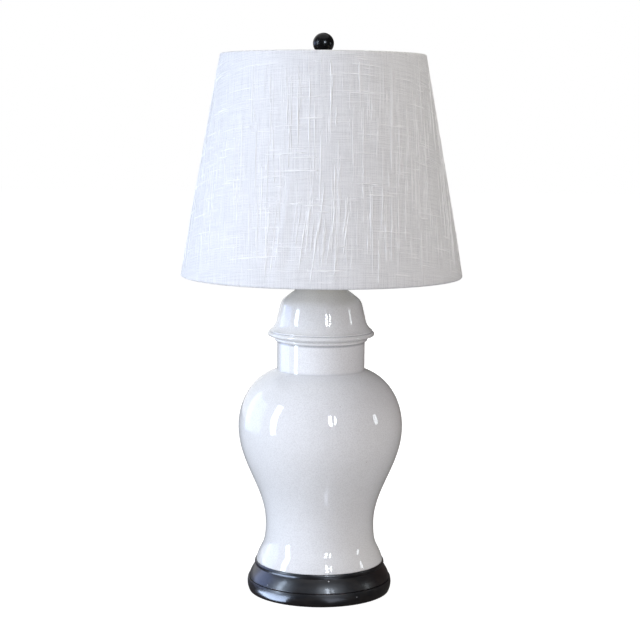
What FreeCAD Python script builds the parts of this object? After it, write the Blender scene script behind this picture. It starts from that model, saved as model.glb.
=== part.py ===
import FreeCAD, Part

# A ginger jar made into a table lamp, in millimetres. +Z is up along the lamp's axis, the table is
# z = 0 and the front faces -Y. Every piece is a solid of its own, named as a repairer would name it.
# Names that end in _z are heights above the table. Other heights are measured from the piece's own foot.

import math
import os

Vector = FreeCAD.Vector
CENTRE = Vector(0, 0, 0)
UP = Vector(0, 0, 1)
BACK = Vector(0, 1, 0)
FRONT = Vector(0, -1, 0)
RIGHT = Vector(1, 0, 0)

# ---- Fits and clearances
turn_gap = 0.06  # radial, between a shaft and the hole it turns or slides in
face_gap = 0.1  # between faces of pieces that move apart
seat_gap = 0.3  # around a piece that drops into a recess
drill_gap = 0.45  # radial, between the threaded rod and what it passes through
skin_gap = 0.15  # between the layers of the shade and of the socket
weld_gap = 0.02  # between the shade's wires, where a weld joins them

# ---- Felt pad and wooden base
felt_thickness = 2.0
felt_proud = 0.8
felt_opening_radius = 46.0
felt_inset = 5.0
base_height = 38.7
base_rim_wall = 1.7
base_bead_height = 6.0
base_bead_undercut = 1.0
base_tier_flare = 7.4
base_tier_swell = 1.1
base_groove_depth = 1.2
base_groove_height = 1.0
base_lip_height = 16.0
base_lip_overhang = 1.2
base_belly_swell = 0.7
base_foot_turn_in = 2.2
base_cavity_radius = 42.0
base_web = 12.5
jar_seat_depth = 2.2

# ---- Cord inlet at the back of the base
cord_hole_height = 8.7
bushing_bore_radius = 3.4
bushing_wall = 1.2
bushing_flange = 1.8
bushing_flange_thickness = 2.0
bushing_length = 20.0
bushing_sink = 2.6

# ---- Glazed jar
jar_foot_radius = 81.0
jar_waist_radius = 69.0
jar_belly_radius = 104.3
jar_neck_radius = 55.5
jar_lip_swell = 3.4
jar_foot_land = 2.7
jar_waist_height = 49.7
jar_belly_height = 176.1
jar_shoulder_height = 248.7
jar_neck_height = 41.5
jar_lip_height = 4.7
jar_wall = 6.0
jar_floor = 7.0
jar_foot_ring = 12.0
jar_foot_recess = 2.0
# How far each curve pulls along its end's direction, as shares of the height that it climbs
foot_pull = (0.45, 0.435)
waist_pull_down = 0.67
waist_pull_up = 0.372
belly_pull_down = 0.385
belly_pull_up = 0.397
shoulder_pull = (0.707, 0.15)
shoulder_inner_drop = 0.73

# ---- Glazed lid
lid_flange_radius = 67.5
lid_underside_width = 6.5
lid_under_slope = 1.9
lid_rim_height = 8.3
lid_side_radius = 55.5
lid_side_height = 25.9
lid_shoulder_radius = 38.5
lid_shoulder_height = 55.9
lid_crown_height = 67.0
lid_crown_radius = 13.0
lid_wall = 5.0
lid_collar_gap = 1.2
lid_collar_depth = 7.0
lid_collar_wall = 5.0

# ---- Rod, its nut and its washers
rod_radius = 4.85
rod_bore_radius = 3.2
rod_tail = 3.0
rod_grip = 6.0
nut_across_flats = 14.3
nut_thickness = 5.0
lock_washer_radius = 8.0
lock_washer_thickness = 1.2
base_washer_radius = 20.0
base_washer_thickness = 1.6

# ---- Brass column on the lid
vase_cap_overhang = 3.0
vase_cap_height = 6.0
vase_cap_edge = 0.9
check_ring_radius = 8.5
check_ring_height = 3.0
neck_height = 36.0
neck_flange_radius = 9.0
neck_flange_height = 3.0
neck_waist_radius = 6.6

# ---- Saddle, harp and sleeves
saddle_thickness = 1.5
saddle_width = 12.0
saddle_flat = 18.0
saddle_rise = 12.0
saddle_tab = 3.0
saddle_shoulder_radius = 3.8
saddle_shoulder_height = 1.6
saddle_stub_height = 4.0
saddle_pin_radius = 1.3
saddle_pin_height = 11.0
harp_height = 228.6
harp_wire_radius = 2.4
harp_leg_offset = 31.0
harp_leg_height = 27.0
harp_half_width = 57.0
harp_bend_angle = 50.0
harp_crown_arc = 49.0
crown_plate_thickness = 2.4
crown_plate_width = 11.0
stud_radius = 3.175
stud_height = 13.0
stud_shank_radius = 2.6
stud_head_radius = 4.6
stud_head_height = 2.0
stud_shoulder_radius = 6.0
stud_shoulder_height = 1.6
sleeve_wall = 1.9
sleeve_length = 12.0

# ---- Lamp socket
socket_hub_radius = 8.0
socket_hub_height = 7.0
socket_cap_radius = 17.6
socket_cap_height = 20.0
socket_cap_flare = 13.0
socket_cap_wall = 0.9
socket_shell_height = 56.0
socket_shell_wall = 0.6
socket_liner_wall = 0.8
socket_liner_setback = 2.0
socket_body_height = 34.0
socket_body_boss_radius = 7.5
screw_shell_wall = 0.45
screw_shell_height = 21.0
screw_shell_opening = 9.0
contact_height = 1.6
contact_width = 5.0
contact_thickness = 0.6
contact_reach = 6.5
set_screw_radius = 1.3
set_screw_head_radius = 2.4
set_screw_head_height = 2.0
terminal_screw_radius = 1.6
terminal_head_radius = 3.0
terminal_head_height = 1.8
terminal_screw_length = 5.0
terminal_height = 24.0
terminal_pocket_depth = 3.2

# ---- Switch knob
switch_height = 24.0
switch_shaft_radius = 1.6
switch_shaft_depth = 8.0
switch_hole_radius = 2.8
knob_standoff = 1.2
knob_stem_radius = 3.4
knob_stem_length = 6.0
knob_grip_radius = 6.5
knob_grip_length = 12.0
knob_dome = 1.6
knob_flutes = 12
knob_flute_radius = 1.0

# ---- Light bulb with a screw base
bulb_length = 109.0
bulb_radius = 30.0
bulb_thread_radius = 13.2
bulb_thread_clearance = 0.25
bulb_thread_depth = 0.7
bulb_thread_pitch = 3.63
bulb_thread_turns = 5
bulb_base_wall = 0.4
bulb_contact_radius = 4.6
bulb_contact_thickness = 1.8
bulb_insulator_height = 4.2
bulb_skirt_height = 3.0
bulb_neck_radius = 13.0
bulb_glass_wall = 1.0
bulb_glass_socketed = 4.0
bulb_stem_radius = 4.0
bulb_stem_height = 54.0
filament_height = 72.0
filament_half_width = 12.0
filament_wire_radius = 0.4

# ---- Drum shade
shade_bottom_radius = 177.8
shade_top_radius = 128.2
shade_height = 276.9
spider_drop = 12.7
spider_washer_radius = 12.0
spider_washer_thickness = 1.6
spider_spoke_radius = 1.4
spider_spokes = 3
shade_ring_radius = 1.5
shade_cloth = 0.8
shade_backing = 0.5

# ---- Ball finial
finial_ball_radius = 13.2
finial_height = 37.1
finial_foot_radius = 8.0
finial_foot_height = 2.0
finial_neck_radius = 5.8
finial_insert_radius = 4.6
finial_insert_length = 12.0
finial_bore_end = 2.0

# ---- Places that follow from the sizes above
base_foot_z = felt_proud
base_top_z = base_foot_z + base_height
jar_z = base_top_z - jar_seat_depth
cavity_top_z = jar_z - base_web
base_washer_z = cavity_top_z - base_washer_thickness
lock_washer_z = base_washer_z - lock_washer_thickness
nut_z = lock_washer_z - nut_thickness
rod_foot_z = nut_z - rod_tail
cord_hole_z = base_foot_z + cord_hole_height
lid_z = jar_z + jar_shoulder_height + jar_neck_height
vase_cap_z = lid_z + lid_crown_height
check_ring_z = vase_cap_z + vase_cap_height
neck_z = check_ring_z + check_ring_height
saddle_z = neck_z + neck_height
socket_z = saddle_z + saddle_thickness
rod_top_z = socket_z + rod_grip
sleeve_z = saddle_z + saddle_rise + saddle_shoulder_height
harp_foot_z = sleeve_z + saddle_stub_height
shade_rest_z = socket_z + harp_height
crown_plate_z = shade_rest_z - stud_shoulder_height - crown_plate_thickness
washer_top_z = shade_rest_z + spider_washer_thickness
finial_z = washer_top_z + face_gap
shade_top_z = shade_rest_z + spider_drop
shade_bottom_z = shade_top_z - shade_height
switch_z = socket_z + switch_height
terminal_z = socket_z + terminal_height
body_top_z = socket_z + socket_body_height
bulb_z = body_top_z + contact_height + face_gap

rod_hole = rod_radius + drill_gap
seat_radius = jar_foot_radius + seat_gap
base_rim_radius = seat_radius + base_rim_wall
base_tier_radius = base_rim_radius + base_tier_flare
base_lip_radius = base_tier_radius + base_lip_overhang
base_belly_radius = base_lip_radius + base_belly_swell
base_foot_radius = base_belly_radius - base_foot_turn_in
jar_mouth_radius = jar_neck_radius - jar_wall
shell_radius = socket_cap_radius - socket_cap_wall - skin_gap
liner_radius = shell_radius - socket_shell_wall - skin_gap
socket_body_radius = liner_radius - socket_liner_wall - skin_gap
screw_shell_bore = bulb_thread_radius + bulb_thread_clearance
bushing_radius = bushing_bore_radius + bushing_wall
flange_radius = bushing_radius + bushing_flange
spot_face_y = base_belly_radius - bushing_sink


# ---- Tools for turned and bent shapes
def point(radius, height):
    return Vector(radius, 0, height)


def outline(start, *steps):
    """A closed outline. A step holds an end, for a line, or a middle and an end, for an arc, or two
    pulls and an end, for a curve."""
    edges = []
    here = start
    for step in steps + ([start],):
        if here.distanceToPoint(step[-1]) < 1e-6:
            continue
        if len(step) == 1:
            edges.append(Part.LineSegment(here, step[0]).toShape())
        elif len(step) == 2:
            edges.append(Part.Arc(here, step[0], step[1]).toShape())
        else:
            curve = Part.BezierCurve()
            curve.setPoles([here] + list(step))
            edges.append(curve.toShape())
        here = step[-1]
    return Part.Wire(edges)


def turned(start, *steps):
    """The solid that the outline sweeps round the lamp's axis."""
    return Part.Face(outline(start, *steps)).revolve(CENTRE, UP, 360)


def tube(outer, inner, low_z, high_z):
    """A straight tube on the lamp's axis."""
    return turned(
        point(inner, low_z), [point(outer, low_z)], [point(outer, high_z)], [point(inner, high_z)]
    )


def strip(points, width):
    """A flat outline in the XZ plane given a width along Y, centred on the lamp's axis."""
    wire = Part.makePolygon(points + points[:1])
    wire.translate(BACK * (-width / 2))
    return Part.Face(wire).extrude(BACK * width)


def bar(radius, start, end):
    """A round bar from one point to another."""
    return Part.makeCylinder(radius, start.distanceToPoint(end), start, end - start)


def between(low, high, share):
    return low + (high - low) * share


def shallow_dome(radius, edge_z, rise):
    """The arc step from a dome's edge to its top on the axis, on a sphere centred on the axis."""
    sphere = (radius**2 + rise**2) / (2 * rise)
    half_angle = math.asin(radius / sphere) / 2
    drop = sphere * (1 - math.cos(half_angle))
    return [point(sphere * math.sin(half_angle), edge_z + rise - drop), point(0, edge_z + rise)]


# ---- Base and what fastens the stack to it
def make_felt_pad():
    outer = base_foot_radius - felt_inset
    return tube(outer, felt_opening_radius, 0, felt_thickness)


def make_base():
    """Turned wood: a rim round the jar's foot, a swelling tier, a groove and a rounded foot."""
    lip_z = base_foot_z + base_lip_height
    groove_z = lip_z + base_groove_height
    bead_z = base_top_z - base_bead_height
    undercut = base_rim_radius - base_bead_undercut
    middle_z = (groove_z + bead_z) / 2
    swell = (undercut + base_tier_radius) / 2 + base_tier_swell
    wood = turned(
        point(base_cavity_radius, base_foot_z),
        [point(base_foot_radius, base_foot_z)],
        [point(base_belly_radius, base_foot_z + base_lip_height / 2), point(base_lip_radius, lip_z)],
        [point(base_tier_radius - base_groove_depth, lip_z)],
        [point(base_tier_radius, groove_z)],
        [point(swell, middle_z), point(undercut, bead_z)],
        [point(base_rim_radius, bead_z + base_bead_height / 2), point(undercut, base_top_z)],
        [point(seat_radius, base_top_z)],
        [point(seat_radius, jar_z)],
        [point(rod_hole, jar_z)],
        [point(rod_hole, cavity_top_z)],
        [point(base_cavity_radius, cavity_top_z)],
    )
    felt_seat = tube(
        base_foot_radius - felt_inset + seat_gap, base_cavity_radius, base_foot_z, felt_thickness
    )
    inner_y = base_cavity_radius / 2
    cord_hole = bar(
        bushing_radius + turn_gap,
        Vector(0, inner_y, cord_hole_z),
        Vector(0, base_belly_radius, cord_hole_z),
    )
    spot_face = bar(
        flange_radius + seat_gap,
        Vector(0, spot_face_y, cord_hole_z),
        Vector(0, base_belly_radius + bushing_sink, cord_hole_z),
    )
    return wood.cut(felt_seat).cut(cord_hole).cut(spot_face)


def make_cord_bushing():
    """The flanged sleeve that the cord enters by, pressed into the back of the base."""
    inner = Vector(0, spot_face_y - bushing_length, cord_hole_z)
    face = Vector(0, spot_face_y, cord_hole_z)
    outer = face + BACK * bushing_flange_thickness
    sleeve = bar(bushing_radius, inner, face).fuse(bar(flange_radius, face, outer))
    return sleeve.cut(bar(bushing_bore_radius, inner, outer)).removeSplitter()


def make_base_washer():
    return tube(base_washer_radius, rod_hole, base_washer_z, cavity_top_z)


def make_base_lock_washer():
    return tube(lock_washer_radius, rod_hole, lock_washer_z, base_washer_z)


def make_base_nut():
    """A hexagonal nut, with its corners turned off at both faces."""
    corner = nut_across_flats / math.sqrt(3)
    corners = []
    for turn in range(6):
        angle = math.radians(60 * turn)
        corners.append(Vector(corner * math.cos(angle), corner * math.sin(angle), nut_z))
    prism = Part.Face(Part.makePolygon(corners + corners[:1])).extrude(UP * nut_thickness)
    flat = nut_across_flats / 2
    bevel = corner - flat
    envelope = turned(
        point(0, nut_z),
        [point(flat, nut_z)],
        [point(corner, nut_z + bevel)],
        [point(corner, lock_washer_z - bevel)],
        [point(flat, lock_washer_z)],
        [point(0, lock_washer_z)],
    )
    thread = bar(rod_radius + turn_gap, point(0, nut_z), point(0, lock_washer_z))
    return prism.common(envelope).cut(thread)


def make_threaded_rod():
    return tube(rod_radius, rod_bore_radius, rod_foot_z, rod_top_z)


# ---- Jar and lid
def jar_side(inset, start_height, shoulder_height):
    """The jar's side from its foot to its shoulder, set in from the glazed face."""
    foot = jar_foot_radius - inset
    waist = jar_waist_radius - inset
    belly = jar_belly_radius - inset
    neck = jar_neck_radius - inset
    low = jar_z + start_height
    waist_z = jar_z + jar_waist_height
    belly_z = jar_z + jar_belly_height
    high = jar_z + shoulder_height
    return (
        [
            point(between(foot, waist, foot_pull[0]), between(low, waist_z, foot_pull[1])),
            point(waist, between(waist_z, low, waist_pull_down)),
            point(waist, waist_z),
        ],
        [
            point(waist, between(waist_z, belly_z, waist_pull_up)),
            point(belly, between(belly_z, waist_z, belly_pull_down)),
            point(belly, belly_z),
        ],
        [
            point(belly, between(belly_z, high, belly_pull_up)),
            point(between(neck, belly, shoulder_pull[0]), between(high, belly_z, shoulder_pull[1])),
            point(neck, high),
        ],
    )


def make_jar_body():
    """The jar as a shell: outside up from the foot to the lip, then down inside to the floor."""
    outside = jar_side(0, jar_foot_land, jar_shoulder_height)
    inner_shoulder = jar_shoulder_height - jar_wall * shoulder_inner_drop
    inside = jar_side(jar_wall, jar_floor, inner_shoulder)
    lip_low = lid_z - jar_lip_height
    lip_round = jar_lip_height / 2
    lip_centre = jar_neck_radius + jar_lip_swell - lip_round
    shell = turned(
        point(0, jar_z),
        [point(jar_foot_radius, jar_z)],
        [point(jar_foot_radius, jar_z + jar_foot_land)],
        *outside,
        [point(jar_neck_radius, lip_low)],
        [point(lip_centre, lip_low)],
        [point(lip_centre + lip_round, lip_low + lip_round), point(lip_centre, lid_z)],
        [point(0, lid_z)],
    )
    hollow = turned(
        point(0, jar_z + jar_floor),
        [point(jar_foot_radius - jar_wall, jar_z + jar_floor)],
        *inside,
        [point(jar_mouth_radius, lid_z)],
        [point(0, lid_z)],
    )
    recess_radius = jar_foot_radius - jar_foot_ring
    recess = bar(recess_radius, point(0, jar_z), point(0, jar_z + jar_foot_recess))
    drilling = bar(rod_hole, point(0, jar_z), point(0, jar_z + jar_floor))
    return shell.cut(hollow).cut(recess).cut(drilling)


def lid_dome(inset):
    """The lid's side, shoulder and crown, set in from the glazed face, from the side up."""
    side = lid_side_radius - inset
    side_z = lid_z + lid_side_height
    shoulder = lid_shoulder_radius - inset * 0.6
    shoulder_z = lid_z + lid_shoulder_height - inset * 0.8
    crown_z = lid_z + lid_crown_height - inset
    rise = shoulder_z - side_z
    step = shoulder - lid_crown_radius
    climb = crown_z - shoulder_z
    return (
        [
            point(side - rise * 0.181, side_z + rise * 0.724),
            point(shoulder + rise * 0.485, shoulder_z - rise * 0.37),
            point(shoulder, shoulder_z),
        ],
        [
            point(shoulder - step * 0.43, shoulder_z + climb * 0.75),
            point(lid_crown_radius + step * 0.3, crown_z),
            point(lid_crown_radius, crown_z),
        ],
    )


def make_jar_lid():
    """The lid as a shell: a collar inside the jar's mouth, a flange over its lip, and a dome."""
    collar_radius = jar_mouth_radius - lid_collar_gap
    collar_bore = collar_radius - lid_collar_wall
    collar_z = lid_z - lid_collar_depth
    under = jar_neck_radius + lid_underside_width
    rim = lid_flange_radius
    rim_top = lid_z + lid_rim_height
    side_z = lid_z + lid_side_height
    shell = turned(
        point(0, collar_z),
        [point(collar_radius, collar_z)],
        [point(collar_radius, lid_z)],
        [point(under, lid_z)],
        [point(rim - 2.3, lid_z + lid_under_slope)],
        [point(rim, between(lid_z + lid_under_slope, rim_top, 0.47)), point(rim - 1.1, rim_top)],
        [
            point(rim - 11.1, rim_top + 6.1),
            point(lid_side_radius + 0.5, side_z - 2.2),
            point(lid_side_radius, side_z),
        ],
        *lid_dome(0),
        [point(0, vase_cap_z)],
    )
    hollow = turned(
        point(0, collar_z),
        [point(collar_bore, collar_z)],
        [point(collar_bore, lid_z)],
        [
            point(collar_bore, between(lid_z, side_z, 0.6)),
            point(lid_side_radius - lid_wall, between(lid_z, side_z, 0.6)),
            point(lid_side_radius - lid_wall, side_z),
        ],
        *lid_dome(lid_wall),
        [point(0, vase_cap_z - lid_wall)],
    )
    drilling = bar(rod_hole, point(0, vase_cap_z - lid_wall), point(0, vase_cap_z))
    return shell.cut(hollow).cut(drilling)


# ---- Brass column
def make_vase_cap():
    """A spun cap on the lid's crown, thin at its edge and rising to the check ring."""
    edge = lid_crown_radius + vase_cap_overhang
    top = check_ring_radius
    edge_z = vase_cap_z + vase_cap_edge
    top_z = vase_cap_z + vase_cap_height
    return turned(
        point(rod_hole, vase_cap_z),
        [point(edge, vase_cap_z)],
        [point(edge, edge_z)],
        [point(between(top, edge, 0.62), between(edge_z, top_z, 0.62)), point(top, top_z)],
        [point(rod_hole, top_z)],
    )


def make_check_ring():
    """A ring with a rounded edge."""
    edge = check_ring_radius - check_ring_height / 2
    return turned(
        point(rod_hole, check_ring_z),
        [point(edge, check_ring_z)],
        [point(check_ring_radius, (check_ring_z + neck_z) / 2), point(edge, neck_z)],
        [point(rod_hole, neck_z)],
    )


def make_lamp_neck():
    """A turned brass spindle with a flange at each end."""
    low_z = neck_z + neck_flange_height
    high_z = saddle_z - neck_flange_height
    return turned(
        point(rod_hole, neck_z),
        [point(neck_flange_radius, neck_z)],
        [point(neck_flange_radius, low_z)],
        [point(neck_waist_radius, (low_z + high_z) / 2), point(neck_flange_radius, high_z)],
        [point(neck_flange_radius, saddle_z)],
        [point(rod_hole, saddle_z)],
    )


# ---- Saddle, harp and sleeves
def make_harp_saddle():
    """A bent strip with an upright post at each end, which the harp's hollow legs slip over."""
    half = saddle_thickness / 2
    outer = harp_leg_offset + half
    inner = harp_leg_offset - half
    shoulder_z = saddle_z + saddle_rise
    bend_z = shoulder_z - saddle_tab
    arm = [
        Vector(0, 0, saddle_z),
        Vector(saddle_flat, 0, saddle_z),
        Vector(outer, 0, bend_z),
        Vector(outer, 0, shoulder_z),
        Vector(inner, 0, shoulder_z),
        Vector(inner, 0, bend_z + half),
        Vector(saddle_flat - half, 0, socket_z),
        Vector(0, 0, socket_z),
    ]
    saddle = strip(arm, saddle_width)
    for radius, low_z, high_z in (
        (saddle_shoulder_radius, shoulder_z, sleeve_z),
        (harp_wire_radius, sleeve_z, harp_foot_z),
        (saddle_pin_radius, harp_foot_z, harp_foot_z + saddle_pin_height),
    ):
        saddle = saddle.fuse(
            bar(radius, point(harp_leg_offset, low_z), point(harp_leg_offset, high_z))
        )
    both = saddle.fuse(saddle.mirror(CENTRE, RIGHT))
    return both.cut(bar(rod_hole, point(0, saddle_z), point(0, socket_z))).removeSplitter()


def harp_side():
    """One side of the harp's wire: leg, double bend, upright, arc and a short run to the crown."""
    angle = math.radians(harp_bend_angle)
    shift = harp_half_width - harp_leg_offset
    bend = shift / (2 * (1 - math.cos(angle)))
    rise = 2 * bend * math.sin(angle)
    leg_z = harp_foot_z + harp_leg_height
    side_z = leg_z + rise
    crown_z = crown_plate_z + crown_plate_thickness / 2
    arc_z = crown_z - harp_crown_arc
    half_turn = angle / 2
    across = bend * (1 - math.cos(half_turn))
    along = bend * math.sin(half_turn)
    arc_share = 1 - math.sqrt(0.5)
    start = point(harp_leg_offset, harp_foot_z)
    leg_top = point(harp_leg_offset, leg_z)
    middle = point(harp_leg_offset + shift / 2, leg_z + rise / 2)
    side_low = point(harp_half_width, side_z)
    side_high = point(harp_half_width, arc_z)
    crown_end = point(harp_half_width - harp_crown_arc, crown_z)
    corner = point(harp_half_width - harp_crown_arc * arc_share, crown_z - harp_crown_arc * arc_share)
    path = Part.Wire(
        [
            Part.LineSegment(start, leg_top).toShape(),
            Part.Arc(leg_top, leg_top + Vector(across, 0, along), middle).toShape(),
            Part.Arc(middle, side_low - Vector(across, 0, along), side_low).toShape(),
            Part.LineSegment(side_low, side_high).toShape(),
            Part.Arc(side_high, corner, crown_end).toShape(),
            Part.LineSegment(crown_end, point(crown_plate_width / 2, crown_z)).toShape(),
        ]
    )
    ring = Part.Wire(Part.makeCircle(harp_wire_radius, start, UP))
    return path.makePipeShell([ring], True, True)


def make_harp():
    """One bent wire, flattened at the crown for its stud, with a hole up each leg."""
    side = harp_side()
    foot = point(harp_leg_offset, harp_foot_z)
    hole_top = point(harp_leg_offset, harp_foot_z + saddle_pin_height + face_gap)
    side = side.cut(bar(saddle_pin_radius + turn_gap, foot, hole_top))
    plate = Part.makeCylinder(crown_plate_width / 2 + 1, crown_plate_thickness, point(0, crown_plate_z))
    harp = side.fuse(side.mirror(CENTRE, RIGHT)).fuse(plate)
    plate_top_z = crown_plate_z + crown_plate_thickness
    hole = bar(
        stud_shank_radius + turn_gap,
        point(0, crown_plate_z - harp_wire_radius),
        point(0, plate_top_z + harp_wire_radius),
    )
    below = Part.makeCylinder(
        stud_shoulder_radius + seat_gap, harp_wire_radius, point(0, crown_plate_z - harp_wire_radius)
    )
    above = Part.makeCylinder(stud_shoulder_radius + seat_gap, harp_wire_radius, point(0, plate_top_z))
    return harp.cut(hole).cut(below).cut(above).removeSplitter()


def make_harp_stud():
    """The riveted stud: head under the crown, shoulder above it and a plain thread for the finial."""
    plate_top_z = crown_plate_z + crown_plate_thickness
    head_z = crown_plate_z - stud_head_height
    top_z = shade_rest_z + stud_height
    chamfer = stud_radius * 0.2
    return turned(
        point(0, head_z),
        [point(stud_head_radius, head_z)],
        [point(stud_head_radius, crown_plate_z)],
        [point(stud_shank_radius, crown_plate_z)],
        [point(stud_shank_radius, plate_top_z)],
        [point(stud_shoulder_radius, plate_top_z)],
        [point(stud_shoulder_radius, shade_rest_z)],
        [point(stud_radius, shade_rest_z)],
        [point(stud_radius, top_z - chamfer)],
        [point(stud_radius - chamfer, top_z)],
        [point(0, top_z)],
    )


def make_sleeve(side):
    """A sleeve that locks one leg of the harp to its post. side is -1 for left and 1 for right."""
    low_z = sleeve_z + face_gap
    bore = harp_wire_radius + turn_gap
    sleeve = tube(bore + sleeve_wall, bore, low_z, low_z + sleeve_length)
    return sleeve.translated(RIGHT * (side * harp_leg_offset))


# ---- Socket
def make_socket_cap():
    """The spun brass cap: a hub that screws onto the rod and a bowl that takes the shell."""
    hub_z = socket_z + socket_hub_height
    flare_z = socket_z + socket_cap_flare
    rim_z = socket_z + socket_cap_height
    bore = rod_radius + turn_gap
    inner = socket_cap_radius - socket_cap_wall
    bowl_z = hub_z + socket_cap_wall
    cap = turned(
        point(bore, socket_z),
        [point(socket_hub_radius, socket_z)],
        [point(socket_hub_radius, hub_z)],
        [
            point(between(socket_hub_radius, socket_cap_radius, 0.72), between(hub_z, flare_z, 0.3)),
            point(socket_cap_radius, flare_z),
        ],
        [point(socket_cap_radius, rim_z)],
        [point(inner, rim_z)],
        [point(inner, flare_z)],
        [
            point(between(socket_hub_radius, inner, 0.72), between(bowl_z, flare_z, 0.32)),
            point(socket_hub_radius - socket_cap_wall, bowl_z),
        ],
        [point(bore, bowl_z)],
    )
    screw_z = socket_z + socket_hub_height / 2
    screw_hole = bar(
        set_screw_radius + turn_gap, Vector(0, 0, screw_z), Vector(0, socket_cap_radius, screw_z)
    )
    return cap.cut(screw_hole)


def make_socket_set_screw():
    """The small screw that keeps the cap from turning on the rod."""
    screw_z = socket_z + socket_hub_height / 2
    tip = Vector(0, rod_radius + turn_gap, screw_z)
    seat = Vector(0, socket_hub_radius + face_gap, screw_z)
    head = bar(set_screw_head_radius, seat, seat + BACK * set_screw_head_height)
    slot_width = set_screw_head_radius / 4
    slot = Part.makeBox(
        set_screw_head_radius * 2,
        set_screw_head_height,
        slot_width,
        seat + Vector(-set_screw_head_radius, set_screw_head_height / 2, -slot_width / 2),
    )
    return bar(set_screw_radius, tip, seat).fuse(head).cut(slot).removeSplitter()


def switch_hole():
    """The way through the socket's walls for the switch shaft."""
    return bar(switch_hole_radius, Vector(0, 0, switch_z), FRONT * socket_cap_radius + UP * switch_z)


def make_socket_shell():
    """The brass outer shell, beaded at its mouth, with a hole for the switch shaft."""
    low_z = socket_z + socket_cap_flare + face_gap
    high_z = socket_z + socket_shell_height
    bead = socket_shell_wall
    inner = shell_radius - socket_shell_wall
    shell = turned(
        point(inner, low_z),
        [point(shell_radius, low_z)],
        [point(shell_radius, high_z - bead * 3)],
        [point(shell_radius + bead, high_z - bead * 1.5), point(shell_radius, high_z)],
        [point(inner, high_z)],
    )
    return shell.cut(switch_hole())


def make_socket_insulator():
    """The fibre sleeve between the brass shell and the live parts."""
    low_z = socket_z + socket_cap_flare + face_gap
    high_z = socket_z + socket_shell_height - socket_liner_setback
    return tube(liner_radius, liner_radius - socket_liner_wall, low_z, high_z).cut(switch_hole())


def make_socket_body():
    """The moulded block that holds the switch, the two terminals and the contacts."""
    boss_z = socket_z + socket_hub_height + socket_cap_wall
    block_z = socket_z + socket_cap_flare + face_gap
    block = turned(
        point(rod_bore_radius, boss_z),
        [point(socket_body_boss_radius, boss_z)],
        [point(socket_body_boss_radius, block_z)],
        [point(socket_body_radius, block_z)],
        [point(socket_body_radius, body_top_z)],
        [point(0, body_top_z)],
        [point(0, block_z)],
        [point(rod_bore_radius, block_z)],
    )
    shaft_end = FRONT * socket_body_radius + UP * switch_z
    block = block.cut(
        bar(switch_shaft_radius + turn_gap, FRONT * (switch_shaft_depth - face_gap) + UP * switch_z, shaft_end)
    )
    pocket = terminal_head_radius + seat_gap
    floor = socket_body_radius - terminal_pocket_depth
    for side in (RIGHT, RIGHT * -1):
        mouth = side * socket_body_radius + UP * terminal_z
        seat = side * floor + UP * terminal_z
        end = side * (floor - terminal_screw_length) + UP * terminal_z
        block = block.cut(bar(pocket, seat, mouth)).cut(bar(terminal_screw_radius + turn_gap, end, seat))
    return block


def make_terminal_screws():
    """Two slotted screws that clamp the wires, one at each side of the block."""
    floor = socket_body_radius - terminal_pocket_depth
    screws = []
    for side in (RIGHT, RIGHT * -1):
        end = side * (floor - terminal_screw_length) + UP * terminal_z
        seat = side * floor + UP * terminal_z
        top = side * (floor + terminal_head_height) + UP * terminal_z
        screw = bar(terminal_screw_radius, end, seat).fuse(bar(terminal_head_radius, seat, top))
        slot_width = terminal_head_radius / 4
        slot = Part.makeBox(
            terminal_head_height, terminal_head_radius * 2, slot_width, Vector(0, 0, 0)
        )
        slot.translate(Vector(-terminal_head_height / 2, -terminal_head_radius, -slot_width / 2))
        slot.translate(top)
        screws.append(screw.cut(slot).removeSplitter())
    return Part.makeCompound(screws)


def make_socket_screw_shell():
    """The threaded cup that the bulb screws into, drawn here without its thread."""
    outer = screw_shell_bore + screw_shell_wall
    floor_z = body_top_z + screw_shell_wall
    rim_z = body_top_z + screw_shell_height
    return turned(
        point(screw_shell_opening, body_top_z),
        [point(outer, body_top_z)],
        [point(outer, rim_z)],
        [point(screw_shell_bore, rim_z)],
        [point(screw_shell_bore, floor_z)],
        [point(screw_shell_opening, floor_z)],
    )


def make_socket_contact():
    """The bent spring tongue under the bulb's tip."""
    tongue_z = body_top_z + contact_height
    rise = contact_height - contact_thickness
    tongue = [
        Vector(-contact_reach, 0, body_top_z),
        Vector(-contact_reach / 2, 0, body_top_z),
        Vector(-contact_reach / 2 + rise, 0, tongue_z - contact_thickness),
        Vector(contact_reach, 0, tongue_z - contact_thickness),
        Vector(contact_reach, 0, tongue_z),
        Vector(-contact_reach / 2 + rise - contact_thickness / 2, 0, tongue_z),
        Vector(-contact_reach / 2 - contact_thickness / 2, 0, body_top_z + contact_thickness),
        Vector(-contact_reach, 0, body_top_z + contact_thickness),
    ]
    return strip(tongue, contact_width)


# ---- Switch knob
def make_switch_shaft():
    """The shaft that carries the knob, from inside the block to inside the grip."""
    start = FRONT * switch_shaft_depth + UP * switch_z
    knob_start = shell_radius + knob_standoff
    end = FRONT * (knob_start + knob_stem_length + knob_grip_length / 2) + UP * switch_z
    return bar(switch_shaft_radius, start, end)


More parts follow.
